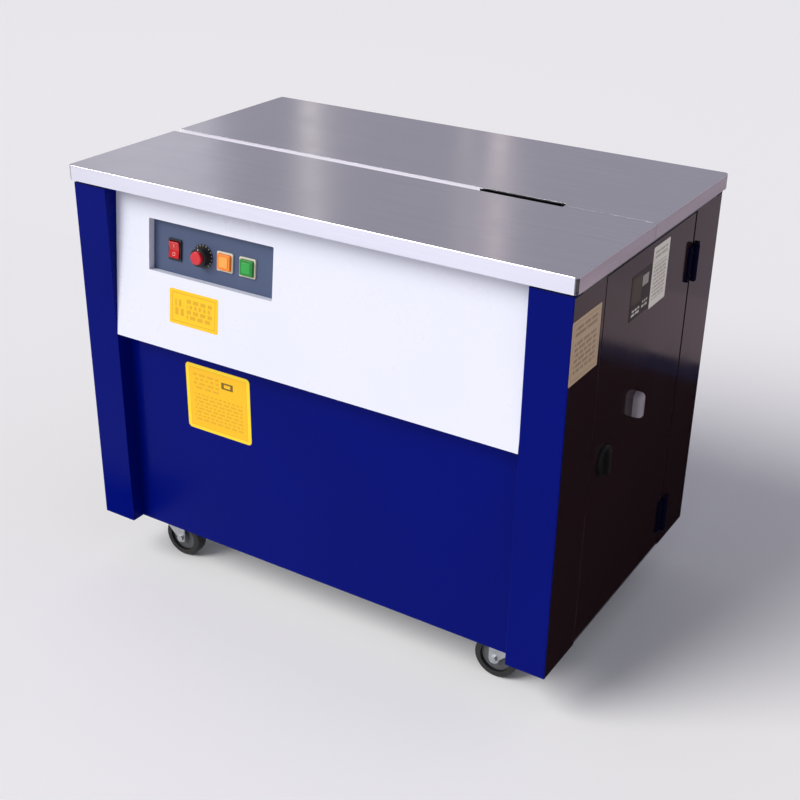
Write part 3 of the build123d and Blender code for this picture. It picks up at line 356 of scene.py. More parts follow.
def brushedMetal(name, finish):
    # sheet brushed along X: fine lines that stretch each reflection across them
    material = startMaterial(name)
    place = objectPlace(material)
    along, across = finish["lineLength"] * mm, finish["lineWidth"] * mm
    lines = addNode(material, "Mapping", {"Scale": (1 / along, 1 / across, 1 / across)}, {"Vector": place})
    fine = addNode(material, "TexNoise", {"Scale": 1.0, "Detail": 3, "Roughness": 0.65},
                   {"Vector": lines.outputs[0]}).outputs["Fac"]
    broad = addNode(material, "Mapping", {"Scale": (0.35 / along, 0.12 / across, 0.12 / across)},
                    {"Vector": place})
    bands = addNode(material, "TexNoise", {"Scale": 1.0, "Detail": 2}, {"Vector": broad.outputs[0]})
    both = reckon(material, "MULTIPLY_ADD", bands.outputs["Fac"], 0.35, fine)
    tone = rescale(material, both, 0, 1, 0.35, 1.0)
    smear = rescale(material, noiseOver(material, place, 130, 5), *finish["rough"])
    grain = reckon(material, "MULTIPLY_ADD", fine, 0.08, smear)
    if "groove" in finish:
        # the folded groove is left unpolished, so it scatters more light than the top
        groove = finish["groove"]
        parts = addNode(material, "SeparateXYZ", {}, {0: place}).outputs
        near = reckon(material, "COMPARE", parts["Y"], groove["y"] * mm, groove["half"] * mm)
        sunk = reckon(material, "LESS_THAN", parts["Z"], tableHigh.z - groove["sunk"] * mm)
        left = reckon(material, "LESS_THAN", parts["X"], groove["end"] * mm)
        within = reckon(material, "MULTIPLY", reckon(material, "MULTIPLY", near, sunk), left)
        grain = reckon(material, "MULTIPLY_ADD", within, groove["rough"], grain)
    bump = bumpOver(material, fine, finish["bump"], 0.02, softEdges(material, finish.get("edge", 0.8)))
    tangent = addNode(material, "Tangent", {"direction_type": "RADIAL", "axis": "X"})
    shader = addNode(material, "BsdfPrincipled",
                     {"Metallic": 1.0, "Anisotropic": finish["stretch"], "Anisotropic Rotation": 0.0},
                     {"Base Color": mixColours(material, tone, finish["dark"], finish["light"]),
                      "Roughness": grain, "Normal": bump, "Tangent": tangent.outputs[0]})
    return closeMaterial(material, shader)


metals = {
    "brushedStainless": {"dark": "#DAD8E0", "light": "#E8E6ED", "lineLength": 160, "lineWidth": 1.1,
                         "rough": (0.12, 0.17), "bump": 0.03, "stretch": 0.7, "edge": 0.2,
                         "groove": {"y": -22, "half": 8.7, "end": 160, "sunk": 0.4, "rough": 0.45}},
    "zincSteel": {"dark": "#A3A8AB", "light": "#C9CCCE", "lineLength": 14, "lineWidth": 5,
                  "rough": (0.3, 0.42), "bump": 0.2, "stretch": 0.0},
    "groundSteel": {"dark": "#7C7C7E", "light": "#A5A5A6", "lineLength": 40, "lineWidth": 0.9,
                    "rough": (0.3, 0.4), "bump": 0.25, "stretch": 0.3},
    "castAluminium": {"dark": "#9A9B9C", "light": "#B4B5B6", "lineLength": 4, "lineWidth": 4,
                      "rough": (0.45, 0.55), "bump": 0.6, "stretch": 0.0},
    "blackOxideSteel": {"dark": "#18181A", "light": "#28282A", "lineLength": 30, "lineWidth": 1,
                        "rough": (0.4, 0.5), "bump": 0.2, "stretch": 0.0},
}
metal = {name: brushedMetal(name, finish) for name, finish in metals.items()}


def mouldedPlastic(name, finish):
    # injection-moulded ABS or nylon: soft gloss over a fine spark-eroded grain
    material = startMaterial(name)
    place = objectPlace(material)
    mottle = noiseOver(material, place, 22, 4)
    grain = addNode(material, "TexVoronoi", {"Scale": 1 / (finish["grain"] * mm)}, {"Vector": place})
    bump = bumpOver(material, grain.outputs["Distance"], finish["bump"], 0.05, softEdges(material, 0.5))
    shader = addNode(material, "BsdfPrincipled",
                     {"IOR": 1.5, "Subsurface Weight": finish.get("glow", 0), "Subsurface Scale": 2 * mm,
                      "Coat Weight": finish.get("coat", 0)},
                     {"Base Color": mixColours(material, mottle, finish["colour"], finish["shade"]),
                      "Roughness": rescale(material, mottle, *finish["rough"]), "Normal": bump})
    return closeMaterial(material, shader)


plastics = {
    "redRockerAbs": {"colour": "#D40C0C", "shade": "#B90808", "grain": 0.8, "rough": (0.16, 0.24),
                     "bump": 0.1, "coat": 0.4},
    "redCapAbs": {"colour": "#DE2C38", "shade": "#C81F2C", "grain": 0.8, "rough": (0.25, 0.35), "bump": 0.15},
    "blackKnobAbs": {"colour": "#121214", "shade": "#1A1A1C", "grain": 0.6, "rough": (0.38, 0.5),
                     "bump": 0.4},
    "orangeLens": {"colour": "#FF8E1E", "shade": "#F57B0C", "grain": 1.4, "rough": (0.2, 0.28), "bump": 0.15,
                   "glow": 0.2},
    "greenLens": {"colour": "#14902F", "shade": "#0C7A25", "grain": 1.4, "rough": (0.2, 0.28), "bump": 0.15,
                  "glow": 0.2},
    "lensAmber": {"colour": "#FFB45A", "shade": "#FFA23C", "grain": 1.6, "rough": (0.2, 0.28), "bump": 0.15,
                  "glow": 0.25},
    "lensLime": {"colour": "#2FB04A", "shade": "#1E9A3A", "grain": 1.6, "rough": (0.2, 0.28), "bump": 0.15,
                 "glow": 0.25},
    "creamFrameAbs": {"colour": "#E4DFC9", "shade": "#D8D2BA", "grain": 0.8, "rough": (0.35, 0.45),
                      "bump": 0.25},
    "greyPullAbs": {"colour": "#A79FA6", "shade": "#988F97", "grain": 0.8, "rough": (0.3, 0.4), "bump": 0.25},
    "blackLatchNylon": {"colour": "#0B0A0A", "shade": "#120F0F", "grain": 0.7, "rough": (0.55, 0.68),
                        "bump": 0.4},
    "reelPolymer": {"colour": "#1C1D20", "shade": "#242529", "grain": 1.1, "rough": (0.35, 0.5), "bump": 0.3},
    "wheelRubber": {"colour": "#141415", "shade": "#1E1E1F", "grain": 1.0, "rough": (0.5, 0.65), "bump": 0.5},
    "beltRubber": {"colour": "#101011", "shade": "#19191A", "grain": 0.9, "rough": (0.6, 0.75), "bump": 0.7},
}
plastic = {name: mouldedPlastic(name, finish) for name, finish in plastics.items()}


def tintByPlace(material, axis, limit, colour):
    # one moulding in two colours: below the limit along the axis it takes the other colour
    parts = addNode(material, "SeparateXYZ", {}, {0: objectPlace(material)}).outputs
    printOver(material, reckon(material, "LESS_THAN", parts[axis], limit), colour)


def distanceInFront(material, vector, centre):
    # how far a point is from the centre, seen along Y
    flat = reckonVector(material, "MULTIPLY", vector, (1, 0, 1))
    return reckonVector(material, "DISTANCE", flat, centre, out="Value")


def tintWheelHub(material, hub):
    # tyre and hub are one CAD body: inside the hub's radius the moulding is grey nylon
    folded = reckonVector(material, "ABSOLUTE", objectPlace(material))
    span = distanceInFront(material, folded, (hub["x"], 0, hub["z"]))
    printOver(material, reckon(material, "LESS_THAN", span, hub["radius"]), hub["colour"])


wheelPin = Vector(joints["front_right_roll"]["pos_m"])
tintWheelHub(plastic["wheelRubber"],
             {"x": abs(wheelPin.x), "z": wheelPin.z, "radius": 26 * mm, "colour": "#5A5C60"})


def markRocker(material, marks):
    # the usual line and circle of a power switch, pad-printed on the two facets
    local = addNode(material, "Mapping", {"vector_type": "TEXTURE", "Location": marks["at"],
                                          "Rotation": (marks["lean"], 0, 0)},
                    {"Vector": objectPlace(material)}).outputs[0]
    above = reckonVector(material, "SUBTRACT", local, (0, 0, marks["rise"]))
    bar = insideBox(material, above, (marks["stroke"] / 2, 1, marks["tall"] / 2), "X", "Z")
    span = distanceInFront(material, local, (0, 0, -marks["rise"]))
    ring = reckon(material, "COMPARE", span, marks["tall"] / 2, marks["stroke"] / 2)
    printOver(material, reckon(material, "MAXIMUM", bar, ring), marks["ink"])


rockerMiddle = (lowOf("power_rocker") + highOf("power_rocker")) / 2
markRocker(plastic["redRockerAbs"],
           {"at": rockerMiddle, "lean": -math.asin(faceNormal.z), "rise": 6.6 * mm, "stroke": 0.9 * mm,
            "tall": 5.2 * mm, "ink": "#F4A8A0"})

plastic["switchFrameAbs"] = mouldedPlastic("switchFrameAbs", plastics["creamFrameAbs"])
dialEnd = -180 * mm                                          # the dark frame and dial lie left of this
tintByPlace(plastic["switchFrameAbs"], "X", dialEnd, "#17151C")
print("materials made:", len(bpy.data.materials))

# ---- finishes of the CAD nodes
finishes = {
    metal["brushedStainless"]: ["front_table", "rear_table", "strap_guide"],
    enamel["royalBlueEnamel"]: ["front_posts", "rear_posts", "front_panel", "rear_panel"],
    enamel["whiteEnamel"]: ["control_fascia"],
    enamel["blackEnamel"]: ["right_side_strips", "left_side_strips", "right_door", "left_door"],
    enamel["frameEnamel"]: ["inner_frame", "top_frame", "motor_mount", "reel_stand"],
    enamel["boxEnamel"]: ["control_box"],
    enamel["hingeEnamel"]: ["door_hinge_leaves", "right_door_hinges", "left_door_hinges"],
    enamel["pocketEnamel"]: ["control_pocket"],
    enamel["slateEnamel"]: ["control_plate"],
    enamel["motorEnamel"]: ["drive_motor"],
    metal["zincSteel"]: ["base_plate", "table_hinge_arms", "caster_plates", "front_left_caster_fork",
                         "front_right_caster_fork", "rear_left_caster_fork", "rear_right_caster_fork"],
    metal["groundSteel"]: ["head_frame", "cam_shaft", "left_gripper", "cutter_press", "right_gripper",
                           "heater", "feed_roller"],
    metal["castAluminium"]: ["gearbox", "motor_pulley", "gearbox_pulley"],
    metal["blackOxideSteel"]: ["anvil_plate"],
    plastic["redRockerAbs"]: ["power_rocker"],
    plastic["redCapAbs"]: ["timer_cap"],
    plastic["blackKnobAbs"]: ["timer_knob", "cable_gland"],
    plastic["orangeLens"]: ["reset_button"],
    plastic["greenLens"]: ["feed_button"],
    plastic["switchFrameAbs"]: ["switch_frames"],
    plastic["greyPullAbs"]: ["right_door_pull", "left_door_pull"],
    plastic["blackLatchNylon"]: ["right_door_latch", "left_door_latch"],
    plastic["reelPolymer"]: ["reel_core", "reel_flanges"],
    plastic["wheelRubber"]: ["front_left_caster_wheel", "front_right_caster_wheel", "rear_left_caster_wheel",
                             "rear_right_caster_wheel"],
    plastic["beltRubber"]: ["drive_belt", "pinch_roller"],
}
for finish, names in finishes.items():
    for name in names:
        nodes[name].data.materials.clear()
        nodes[name].data.materials.append(finish)
missing = [name for name in nodes if not any(name in names for names in finishes.values())]
print("nodes finished:", sum(len(names) for names in finishes.values()), "missing:", missing)

# ---- labels: printed vinyl, with plain bars only

def printedVinyl(name, paper, ink, blocks):
    # screen-printed vinyl: satin film, ink bars in rows with word gaps, the edge line a shade darker
    material = startMaterial(name)
    chart = addNode(material, "TexCoord").outputs["UV"]
    base = addNode(material, "RGB")
    base.outputs[0].default_value = linearColour(paper)
    colour = base.outputs[0]
    for block in blocks:
        x0, x1, y0, y1 = block["box"]
        centred = reckonVector(material, "SUBTRACT", chart, ((x0 + x1) / 2, (y0 + y1) / 2, 0))
        mask = insideBox(material, centred, ((x1 - x0) / 2, (y1 - y0) / 2, 1), "X", "Y")
        if "rows" in block:
            bars = addNode(material, "TexBrick",
                           {"offset": 0.37, "offset_frequency": 2, "squash": 0.62, "squash_frequency": 3,
                            "Color1": (0, 0, 0, 1), "Color2": (0, 0, 0, 1), "Mortar": (1, 1, 1, 1),
                            "Scale": 1.0, "Mortar Size": block["gap"] / block["rows"], "Mortar Smooth": 0.25,
                            "Brick Width": block["word"], "Row Height": (y1 - y0) / block["rows"]},
                           {"Vector": centred})
            printed = reckon(material, "SUBTRACT", 1.0, bars.outputs["Color"])
            mask = reckon(material, "MULTIPLY", printed, mask)
        strength = reckon(material, "MULTIPLY", mask, block.get("strength", 1.0))
        colour = mixColours(material, strength, colour, block.get("ink", ink))
    waves = noiseOver(material, objectPlace(material), 18, 2)
    bump = addNode(material, "Bump", {"Strength": 0.15, "Distance": 0.1 * mm}, {"Height": waves})
    shader = addNode(material, "BsdfPrincipled", {"Roughness": 0.38, "IOR": 1.46},
                     {"Base Color": colour, "Normal": bump.outputs[0]})
    return closeMaterial(material, shader)


vinyls = {
    "smallCautionVinyl": ("#FFCB10", "#C98A10", [
        {"box": (0.05, 0.95, 0.08, 0.92), "ink": "#E2A50E", "strength": 0.9},
        {"box": (0.065, 0.935, 0.105, 0.895), "ink": "#FFCB10"},
        {"box": (0.12, 0.30, 0.25, 0.75), "rows": 2, "gap": 0.05, "word": 0.16, "strength": 0.55},
        {"box": (0.36, 0.88, 0.2, 0.8), "rows": 4, "gap": 0.09, "word": 0.15, "strength": 0.55}]),
    "largeCautionVinyl": ("#FFDA20", "#C98A10", [
        {"box": (0.05, 0.95, 0.05, 0.95), "ink": "#F0B010", "strength": 0.9},
        {"box": (0.06, 0.94, 0.062, 0.938), "ink": "#FFC206"},
        {"box": (0.12, 0.52, 0.62, 0.88), "rows": 4, "gap": 0.07, "word": 0.13, "strength": 0.45},
        {"box": (0.12, 0.88, 0.14, 0.58), "rows": 8, "gap": 0.12, "word": 0.11, "strength": 0.45},
        {"box": (0.56, 0.74, 0.74, 0.84), "ink": "#3A2A06", "strength": 0.85},
        {"box": (0.60, 0.70, 0.765, 0.815), "ink": "#FFC206"}]),
    "ratingVinyl": ("#C9AE8E", "#6A543C", [
        {"box": (0.05, 0.95, 0.05, 0.95), "ink": "#B89A78", "strength": 0.8},
        {"box": (0.07, 0.93, 0.075, 0.925), "ink": "#C9AE8E"},
        {"box": (0.12, 0.88, 0.74, 0.88), "rows": 1, "gap": 0.02, "word": 0.4, "strength": 0.5},
        {"box": (0.12, 0.88, 0.14, 0.66), "rows": 6, "gap": 0.12, "word": 0.24, "strength": 0.45}]),
    "noticeVinyl": ("#E9E3D8", "#7B7266", [
        {"box": (0.12, 0.88, 0.80, 0.92), "rows": 1, "gap": 0.02, "word": 0.5, "strength": 0.5},
        {"box": (0.12, 0.88, 0.12, 0.72), "rows": 9, "gap": 0.14, "word": 0.22, "strength": 0.5}]),
    "diagramVinyl": ("#1C1512", "#D8D2C6", [
        {"box": (0.06, 0.52, 0.34, 0.92), "ink": "#4A3A2A", "strength": 0.8},
        {"box": (0.55, 0.86, 0.62, 0.86), "strength": 0.5},
        {"box": (0.10, 0.50, 0.08, 0.22), "rows": 1, "gap": 0.02, "word": 0.22, "strength": 0.9},
        {"box": (0.60, 0.90, 0.10, 0.30), "rows": 2, "gap": 0.05, "word": 0.16, "strength": 0.8}]),
}
vinyl = {name: printedVinyl(name, *recipe) for name, recipe in vinyls.items()}

# middles, sizes in millimetres and corner radii of the labels
labels = {
    "smallCaution": {"at": (-212.5, 532), "size": (99, 58), "corner": 3, "on": "fascia",
                     "film": "smallCautionVinyl"},
    "largeCaution": {"at": (-185.5, 368), "size": (133, 120), "corner": 7, "on": "panel",
                     "film": "largeCautionVinyl"},
    "ratingPlate": {"at": (-233, 622), "size": (92, 94), "corner": 2, "on": "strip", "film": "ratingVinyl"},
    "doorNotice": {"at": (25.5, 644), "size": (63, 96), "corner": 2, "on": "door", "film": "noticeVinyl"},
    "doorDiagram": {"at": (-45, 635), "size": (74, 70), "corner": 2, "on": "door", "film": "diagramVinyl"},
}
labelThick = 0.3 * mm


def makeLabel(name, label):
    piece = addSheet(name, (0, 0, 0), [size * mm for size in label["size"]])
    bpy.ops.object.mode_set(mode="EDIT")
    bpy.ops.mesh.select_all(action="SELECT")
    bpy.ops.mesh.bevel(offset=label["corner"] * mm, segments=5, affect="VERTICES")
    bpy.ops.mesh.select_all(action="SELECT")
    bpy.ops.mesh.extrude_region_move(TRANSFORM_OT_translate={"value": (0, 0, labelThick)})
    leaveEdit(piece)
    u, v = (place * mm for place in label["at"])
    if label["on"] == "fascia":
        facePoint = platePoint + faceNormal * pocketDepth
        origin = facePoint + faceUp * ((v - facePoint.z) / faceUp.z)
        origin.x = u
        across, up, out = Vector((1, 0, 0)), faceUp, faceNormal
    elif label["on"] == "panel":
        origin = Vector((u, panelLow.y, v))
        across, up, out = Vector((1, 0, 0)), Vector((0, 0, 1)), Vector((0, -1, 0))
    else:
        origin = Vector((doorHigh.x, u, v))
        across, up, out = Vector((0, 1, 0)), Vector((0, 0, 1)), Vector((1, 0, 0))
    moveMesh(piece, Matrix.Translation(origin) @ Matrix((across, up, out)).transposed().to_4x4())
    finishPiece(piece, "right_door" if label["on"] == "door" else "cabinet", vinyl[label["film"]])


for name, label in labels.items():
    makeLabel(name, label)
print("labels made")

# ---- fasteners: one of each is modelled, then copied to its places

fasteners = {"panRadius": 4.2, "panHeight": 2.4, "crossLong": 1.15, "crossWidth": 0.22,
             "hexAcross": 10, "hexHeight": 5, "washer": 1.2}
fastenerSpots = {
    "hinge": {"leafThick": 4, "reach": 13.5, "rise": 19, "zs": (155, 618.99)},
    "rearPanel": {"xs": (-362, -120, 120, 362), "zs": (112, 395, 690)},
    "box": {"inset": 10},
    "caster": {"x": 352, "y": 200, "alongX": 28, "alongY": 21, "under": 87},
    "stand": {"inset": 12, "foot": 5},
    "head": {"xs": {1: 297, -1: 166}, "ys": (-70, 62), "zs": (612, 660)},
}


def panScrew(scale=1.0):
    radius, height = fasteners["panRadius"] * scale * mm, fasteners["panHeight"] * scale * mm
    screw = addCylinder(radius, height, (0, 0, height / 2), 28)
    bevelEdges(screw, lambda a, b: min(a.z, b.z) > height * 0.9, height * 0.55, 4, 50)
    long, wide = fasteners["crossLong"], fasteners["crossWidth"]
    for x, y in ((long, wide), (wide, long)):
        arm = addBlock("cross", (-radius * x / 2, -radius * y / 2, height * 0.35),
                       (radius * x / 2, radius * y / 2, height * 1.4))
        modify(screw, "BOOLEAN", operation="DIFFERENCE", object=arm)
        bpy.data.objects.remove(arm)
    return screw


def hexBolt(scale=1.0):
    across, height, washer = (fasteners[key] * scale * mm for key in ("hexAcross", "hexHeight", "washer"))
    ring = addCylinder(across * 0.95, washer, (0, 0, washer / 2), 24)
    bevelEdges(ring, lambda a, b: min(a.z, b.z) > washer * 0.9, washer * 0.3, 2)
    head = addCylinder(across * 0.577, height, (0, 0, washer + height / 2), 6)
    sinkFaces(head, facesUp, across * 0.06, (0, 0, height * 0.08))
    return joinPieces([head, ring])


def placeCopies(master, name, body, material, spots):
    # spots are (place in metres, direction that the head faces)
    for index, (place, facing) in enumerate(spots):
        turn = Vector(facing).to_track_quat("Z", "Y").to_matrix().to_4x4()
        twin = copyPiece(master, f"{name}_{index}", Matrix.Translation(place) @ turn)
        finishPiece(twin, body, material)


def dropMaster(*masters):
    for master in masters:
        bpy.data.objects.remove(master)


smallScrew, screw, smallBolt = panScrew(scale=0.75), panScrew(), hexBolt(scale=0.7)
hingeY = joints["right_door_hinge"]["pos_m"][1]
spot = fastenerSpots["hinge"]
for side, hand in (("right", 1), ("left", -1)):
    face = hand * (doorHigh.x + spot["leafThick"] * mm)
    for part, toward, body in (("door", -1, side + "_door"), ("post", 1, "cabinet")):
        y = hingeY + toward * spot["reach"] * mm
        places = [((face, y, (z + rise) * mm), (hand, 0, 0))
                  for z in spot["zs"] for rise in (-spot["rise"], spot["rise"])]
        placeCopies(smallScrew, f"hingeScrew_{side}_{part}", body, metal["blackOxideSteel"],
                    places)
rearFace = highOf("rear_panel").y
spot = fastenerSpots["rearPanel"]
places = [((x * mm, rearFace, z * mm), (0, 1, 0)) for x in spot["xs"] for z in spot["zs"]]
placeCopies(screw, "rearPanelScrew", "cabinet", metal["zincSteel"], places)
low, high, inset = lowOf("control_box"), highOf("control_box"), fastenerSpots["box"]["inset"] * mm
places = [((x, low.y, z), (0, -1, 0)) for x in (low.x + inset, high.x - inset)
          for z in (low.z + inset, high.z - inset)]
placeCopies(smallScrew, "boxScrew", "cabinet", metal["zincSteel"], places)
spot = fastenerSpots["caster"]
places = [(((hand * spot["x"] + dx) * mm, (side * spot["y"] + dy) * mm, spot["under"] * mm), (0, 0, -1))
          for hand in (-1, 1) for side in (-1, 1)
          for dx in (-spot["alongX"], spot["alongX"]) for dy in (-spot["alongY"], spot["alongY"])]
placeCopies(smallBolt, "casterBolt", "cabinet", metal["zincSteel"], places)
low, high, inset = lowOf("reel_stand"), highOf("reel_stand"), fastenerSpots["stand"]["inset"] * mm
places = [((x, y, low.z + fastenerSpots["stand"]["foot"] * mm), (0, 0, 1))
          for x in (low.x + inset, high.x - inset) for y in (low.y + inset, high.y - inset)]
placeCopies(smallBolt, "standBolt", "cabinet", metal["zincSteel"], places)
spot = fastenerSpots["head"]
places = [((x * mm, y * mm, z * mm), (hand, 0, 0))
          for hand, x in spot["xs"].items() for y in spot["ys"] for z in spot["zs"]]
placeCopies(smallBolt, "headBolt", "cabinet", metal["blackOxideSteel"], places)
dropMaster(smallScrew, screw, smallBolt)
print("fasteners made")

# ---- timer dial marks and the knob's pointer

dial = {"marks": 15, "sweep": 280, "inner": 16.3, "outer": 18.9, "wide": 0.7, "thick": 0.2, "ringTop": 0.8,
        "soft": 0.1, "pointerWide": 1.4, "pointerIn": 11.2, "pointerOut": 14.2, "pointerTop": 13.7,
        "pointerTall": 0.5, "pointerRound": 0.2}


def makeDialMarks():
    mark = addBlock("dialMark", (-dial["wide"] * mm / 2, dial["inner"] * mm, dial["ringTop"] * mm),
                    (dial["wide"] * mm / 2, dial["outer"] * mm, (dial["ringTop"] + dial["thick"]) * mm))
    sinkFaces(mark, facesUp, dial["soft"] * mm)
    marks = []
    for index in range(dial["marks"]):
        angle = math.radians(dial["sweep"] * (0.5 - index / (dial["marks"] - 1)))
        place = Matrix.Translation(platePoint) @ plateTurn @ Matrix.Rotation(angle, 4, "Z")
        marks.append(copyPiece(mark, f"dialMark_{index}", place))
    dropMaster(mark)
    finishPiece(joinPieces(marks, "dialMarks"), "cabinet", plastic["creamFrameAbs"])
    half, top = dial["pointerWide"] * mm / 2, dial["pointerTop"] * mm
    pointer = addBlock("knobPointer", (-half, dial["pointerIn"] * mm, top - dial["pointerTall"] * mm),
                       (half, dial["pointerOut"] * mm, top))
    bevelEdges(pointer, lambda a, b: min(a.z, b.z) > top - close, dial["pointerRound"] * mm, 2)
    moveMesh(pointer, Matrix.Translation(platePoint) @ plateTurn)
    finishPiece(pointer, "timer_knob", plastic["creamFrameAbs"])


makeDialMarks()

# ---- the raised lens panels of the two push buttons

lens = {"side": 17, "step": 0.5, "sunk": 0.3, "corner": 2, "frame": 0.4, "dome": 0.2}


def makeLensPanels():
    for body, material in (("reset_button", plastic["lensAmber"]), ("feed_button", plastic["lensLime"])):
        centre = (lowOf(body) + highOf(body)) / 2
        top = max(vertex.co.dot(faceNormal) for vertex in nodes[body].data.vertices)
        place = centre + faceNormal * (top - centre.dot(faceNormal))
        half = lens["side"] * mm / 2
        panel = addBlock(body + "Panel", (-half, -half, -lens["sunk"] * mm), (half, half, lens["step"] * mm))
        bevelEdges(panel, lambda a, b: abs(a.z - b.z) > close, lens["corner"] * mm, 4)
        sinkFaces(panel, facesUp, lens["frame"] * mm, (0, 0, lens["dome"] * mm))
        moveMesh(panel, Matrix.Translation(place) @ plateTurn)
        finishPiece(panel, body, material)


makeLensPanels()

# ---- louvre hoods over the rear vents

vents = {"centres": ((-200, 590), (200, 590), (200, 190)), "rows": 7, "pitch": 14, "length": 160, "drop": 8,
         "proud": 5, "sheet": 0.9, "past": 3, "under": 3.5, "lipRound": 3.6, "endRound": 1.2}


def makeHoods():
    half = (vents["length"] / 2 + vents["past"]) * mm
    low, high = -vents["under"] * mm, (vents["drop"] - vents["under"]) * mm
    hood = addBlock("ventHood", (-half, 0, low), (half, vents["proud"] * mm, high))
    bevelEdges(hood, lambda a, b: min(a.y, b.y) > close and min(a.z, b.z) > 0, vents["lipRound"] * mm, 5)
    bevelEdges(hood, lambda a, b: min(abs(a.x), abs(b.x)) > half - close and a.x * b.x > 0
               and min(a.y, b.y) > close, vents["endRound"] * mm, 3)
    # the mouth below and the side against the panel are open
    selectFaces(hood, lambda face: face.normal.z < -0.9 or face.normal.y < -0.9)
    bpy.ops.mesh.delete(type="FACE")
    leaveEdit(hood)
    modify(hood, "SOLIDIFY", thickness=vents["sheet"] * mm, offset=-1)
    for group, (x, z) in enumerate(vents["centres"]):
        row = []
        for index in range(vents["rows"]):
            rise = (index - (vents["rows"] - 1) / 2) * vents["pitch"]
            place = Matrix.Translation((x * mm, rearFace, (z + rise) * mm))
            row.append(copyPiece(hood, f"ventHoods_{group}", place))
        finishPiece(joinPieces(row), "cabinet", enamel["royalBlueEnamel"])
    dropMaster(hood)


makeHoods()
print("dial marks and vent hoods made")

# ---- stiffening channels under the table plates and the rubber stops that the plates rest over

underTable = {"gauge": 1.2, "tall": 14, "wide": 34, "lip": 12, "clear": 45, "under": 2,
              "rows": {"front_table": (-205, -122), "rear_table": (122, 205)},
              "bend": 1.6, "stopRadius": 9, "stopX": 420, "stopY": 205, "stopGap": 0.6, "stopDish": 1.5,
              "stopRound": 2.5}


def makeChannels():
    top = tableHigh.z - underTable["under"] * mm
    tall, wide, lip, gauge = (underTable[key] * mm for key in ("tall", "wide", "lip", "gauge"))
    ends = tableHigh.x - underTable["clear"] * mm
    for body, rows in underTable["rows"].items():
        for index, y in enumerate(rows):
            # a hat section: one long strip is drawn, its sides dropped, its lips turned out
            hat = addSheet(f"stiffener_{body}_{index}", (0, y * mm, top - tall), (2 * ends, wide))
            for side in (-1, 1):
                edgeY = y * mm + side * wide / 2
                selectEdges(hat, lambda a, b: max(abs(a.y - edgeY), abs(b.y - edgeY)) < close)
                for fold in ((0, side * tall * 0.25, tall - gauge), (0, side * lip, 0)):
                    bpy.ops.mesh.extrude_region_move(TRANSFORM_OT_translate={"value": fold})
                leaveEdit(hat)
            chooseOnly(hat)
            bpy.ops.object.mode_set(mode="EDIT")
            bpy.ops.mesh.select_all(action="SELECT")
            bpy.ops.mesh.normals_make_consistent(inside=False)
            leaveEdit(hat)
            modify(hat, "BEVEL", width=underTable["bend"] * mm, segments=3, limit_method="ANGLE")
            modify(hat, "SOLIDIFY", thickness=gauge * 0.9, offset=0)
            finishPiece(hat, body, metal["zincSteel"])


def makeTableStops():
    low, high = highOf("top_frame").z, tableHigh.z - (underTable["under"] + underTable["stopGap"]) * mm
    radius = underTable["stopRadius"] * mm
    stop = addCylinder(radius, high - low, (0, 0, (low + high) / 2), 32)
    sinkFaces(stop, facesUp, radius * 0.45, (0, 0, -underTable["stopDish"] * mm))
    bevelEdges(stop, lambda a, b: min(a.z, b.z) > high - 0.1 * mm
               and min(a.xy.length, b.xy.length) > radius - close, underTable["stopRound"] * mm, 4, 50)
    for index, (hand, side) in enumerate(((-1, -1), (1, -1), (-1, 1), (1, 1))):
        place = (hand * underTable["stopX"] * mm, side * underTable["stopY"] * mm, 0)
        finishPiece(copyPiece(stop, f"tableStop_{index}", Matrix.Translation(place)), "cabinet",
                    plastic["beltRubber"])
    dropMaster(stop)


makeChannels()
makeTableStops()

# ---- foam seals inside the doors

doorSeal = {"inset": 16, "wide": 9, "thick": 5, "skin": 1.5, "round": 1.6}


def makeDoorSeals():
    for side, hand in (("right", 1), ("left", -1)):
        low, high = lowOf(side + "_door"), highOf(side + "_door")
        skin = (high.x if hand > 0 else low.x) - hand * doorSeal["skin"] * mm
        inset, wide = doorSeal["inset"] * mm, doorSeal["wide"] * mm
        nothingSelected()
        bpy.ops.mesh.primitive_plane_add(size=1, location=(0, 0, 0), rotation=(0, math.radians(90), 0))
        seal = bpy.context.object
        seal.name = side + "DoorSeal"
        settle(seal)
        middle = (low + high) / 2
        middle.x = skin - hand * doorSeal["thick"] * mm / 2
        size = Matrix.Diagonal((1, high.y - low.y - 2 * inset, high.z - low.z - 2 * inset, 1))
        moveMesh(seal, Matrix.Translation(middle) @ size)
        selectFaces(seal, lambda face: True)
        bpy.ops.mesh.inset(thickness=wide)
        bpy.ops.mesh.delete(type="FACE")
        leaveEdit(seal)
        modify(seal, "SOLIDIFY", thickness=doorSeal["thick"] * mm, offset=0)
        modify(seal, "BEVEL", width=doorSeal["round"] * mm, segments=3)
        leaveEdit(seal)
        finishPiece(seal, side + "_door", plastic["beltRubber"])


makeDoorSeals()

# ---- reel: rolled rims and shaft collars

reelTrim = {"rim": 2.6, "rimIn": 2, "collar": 17, "collarLong": 7, "collarGap": 8, "collarEdge": 2.5,
            "collarDish": 1.2}


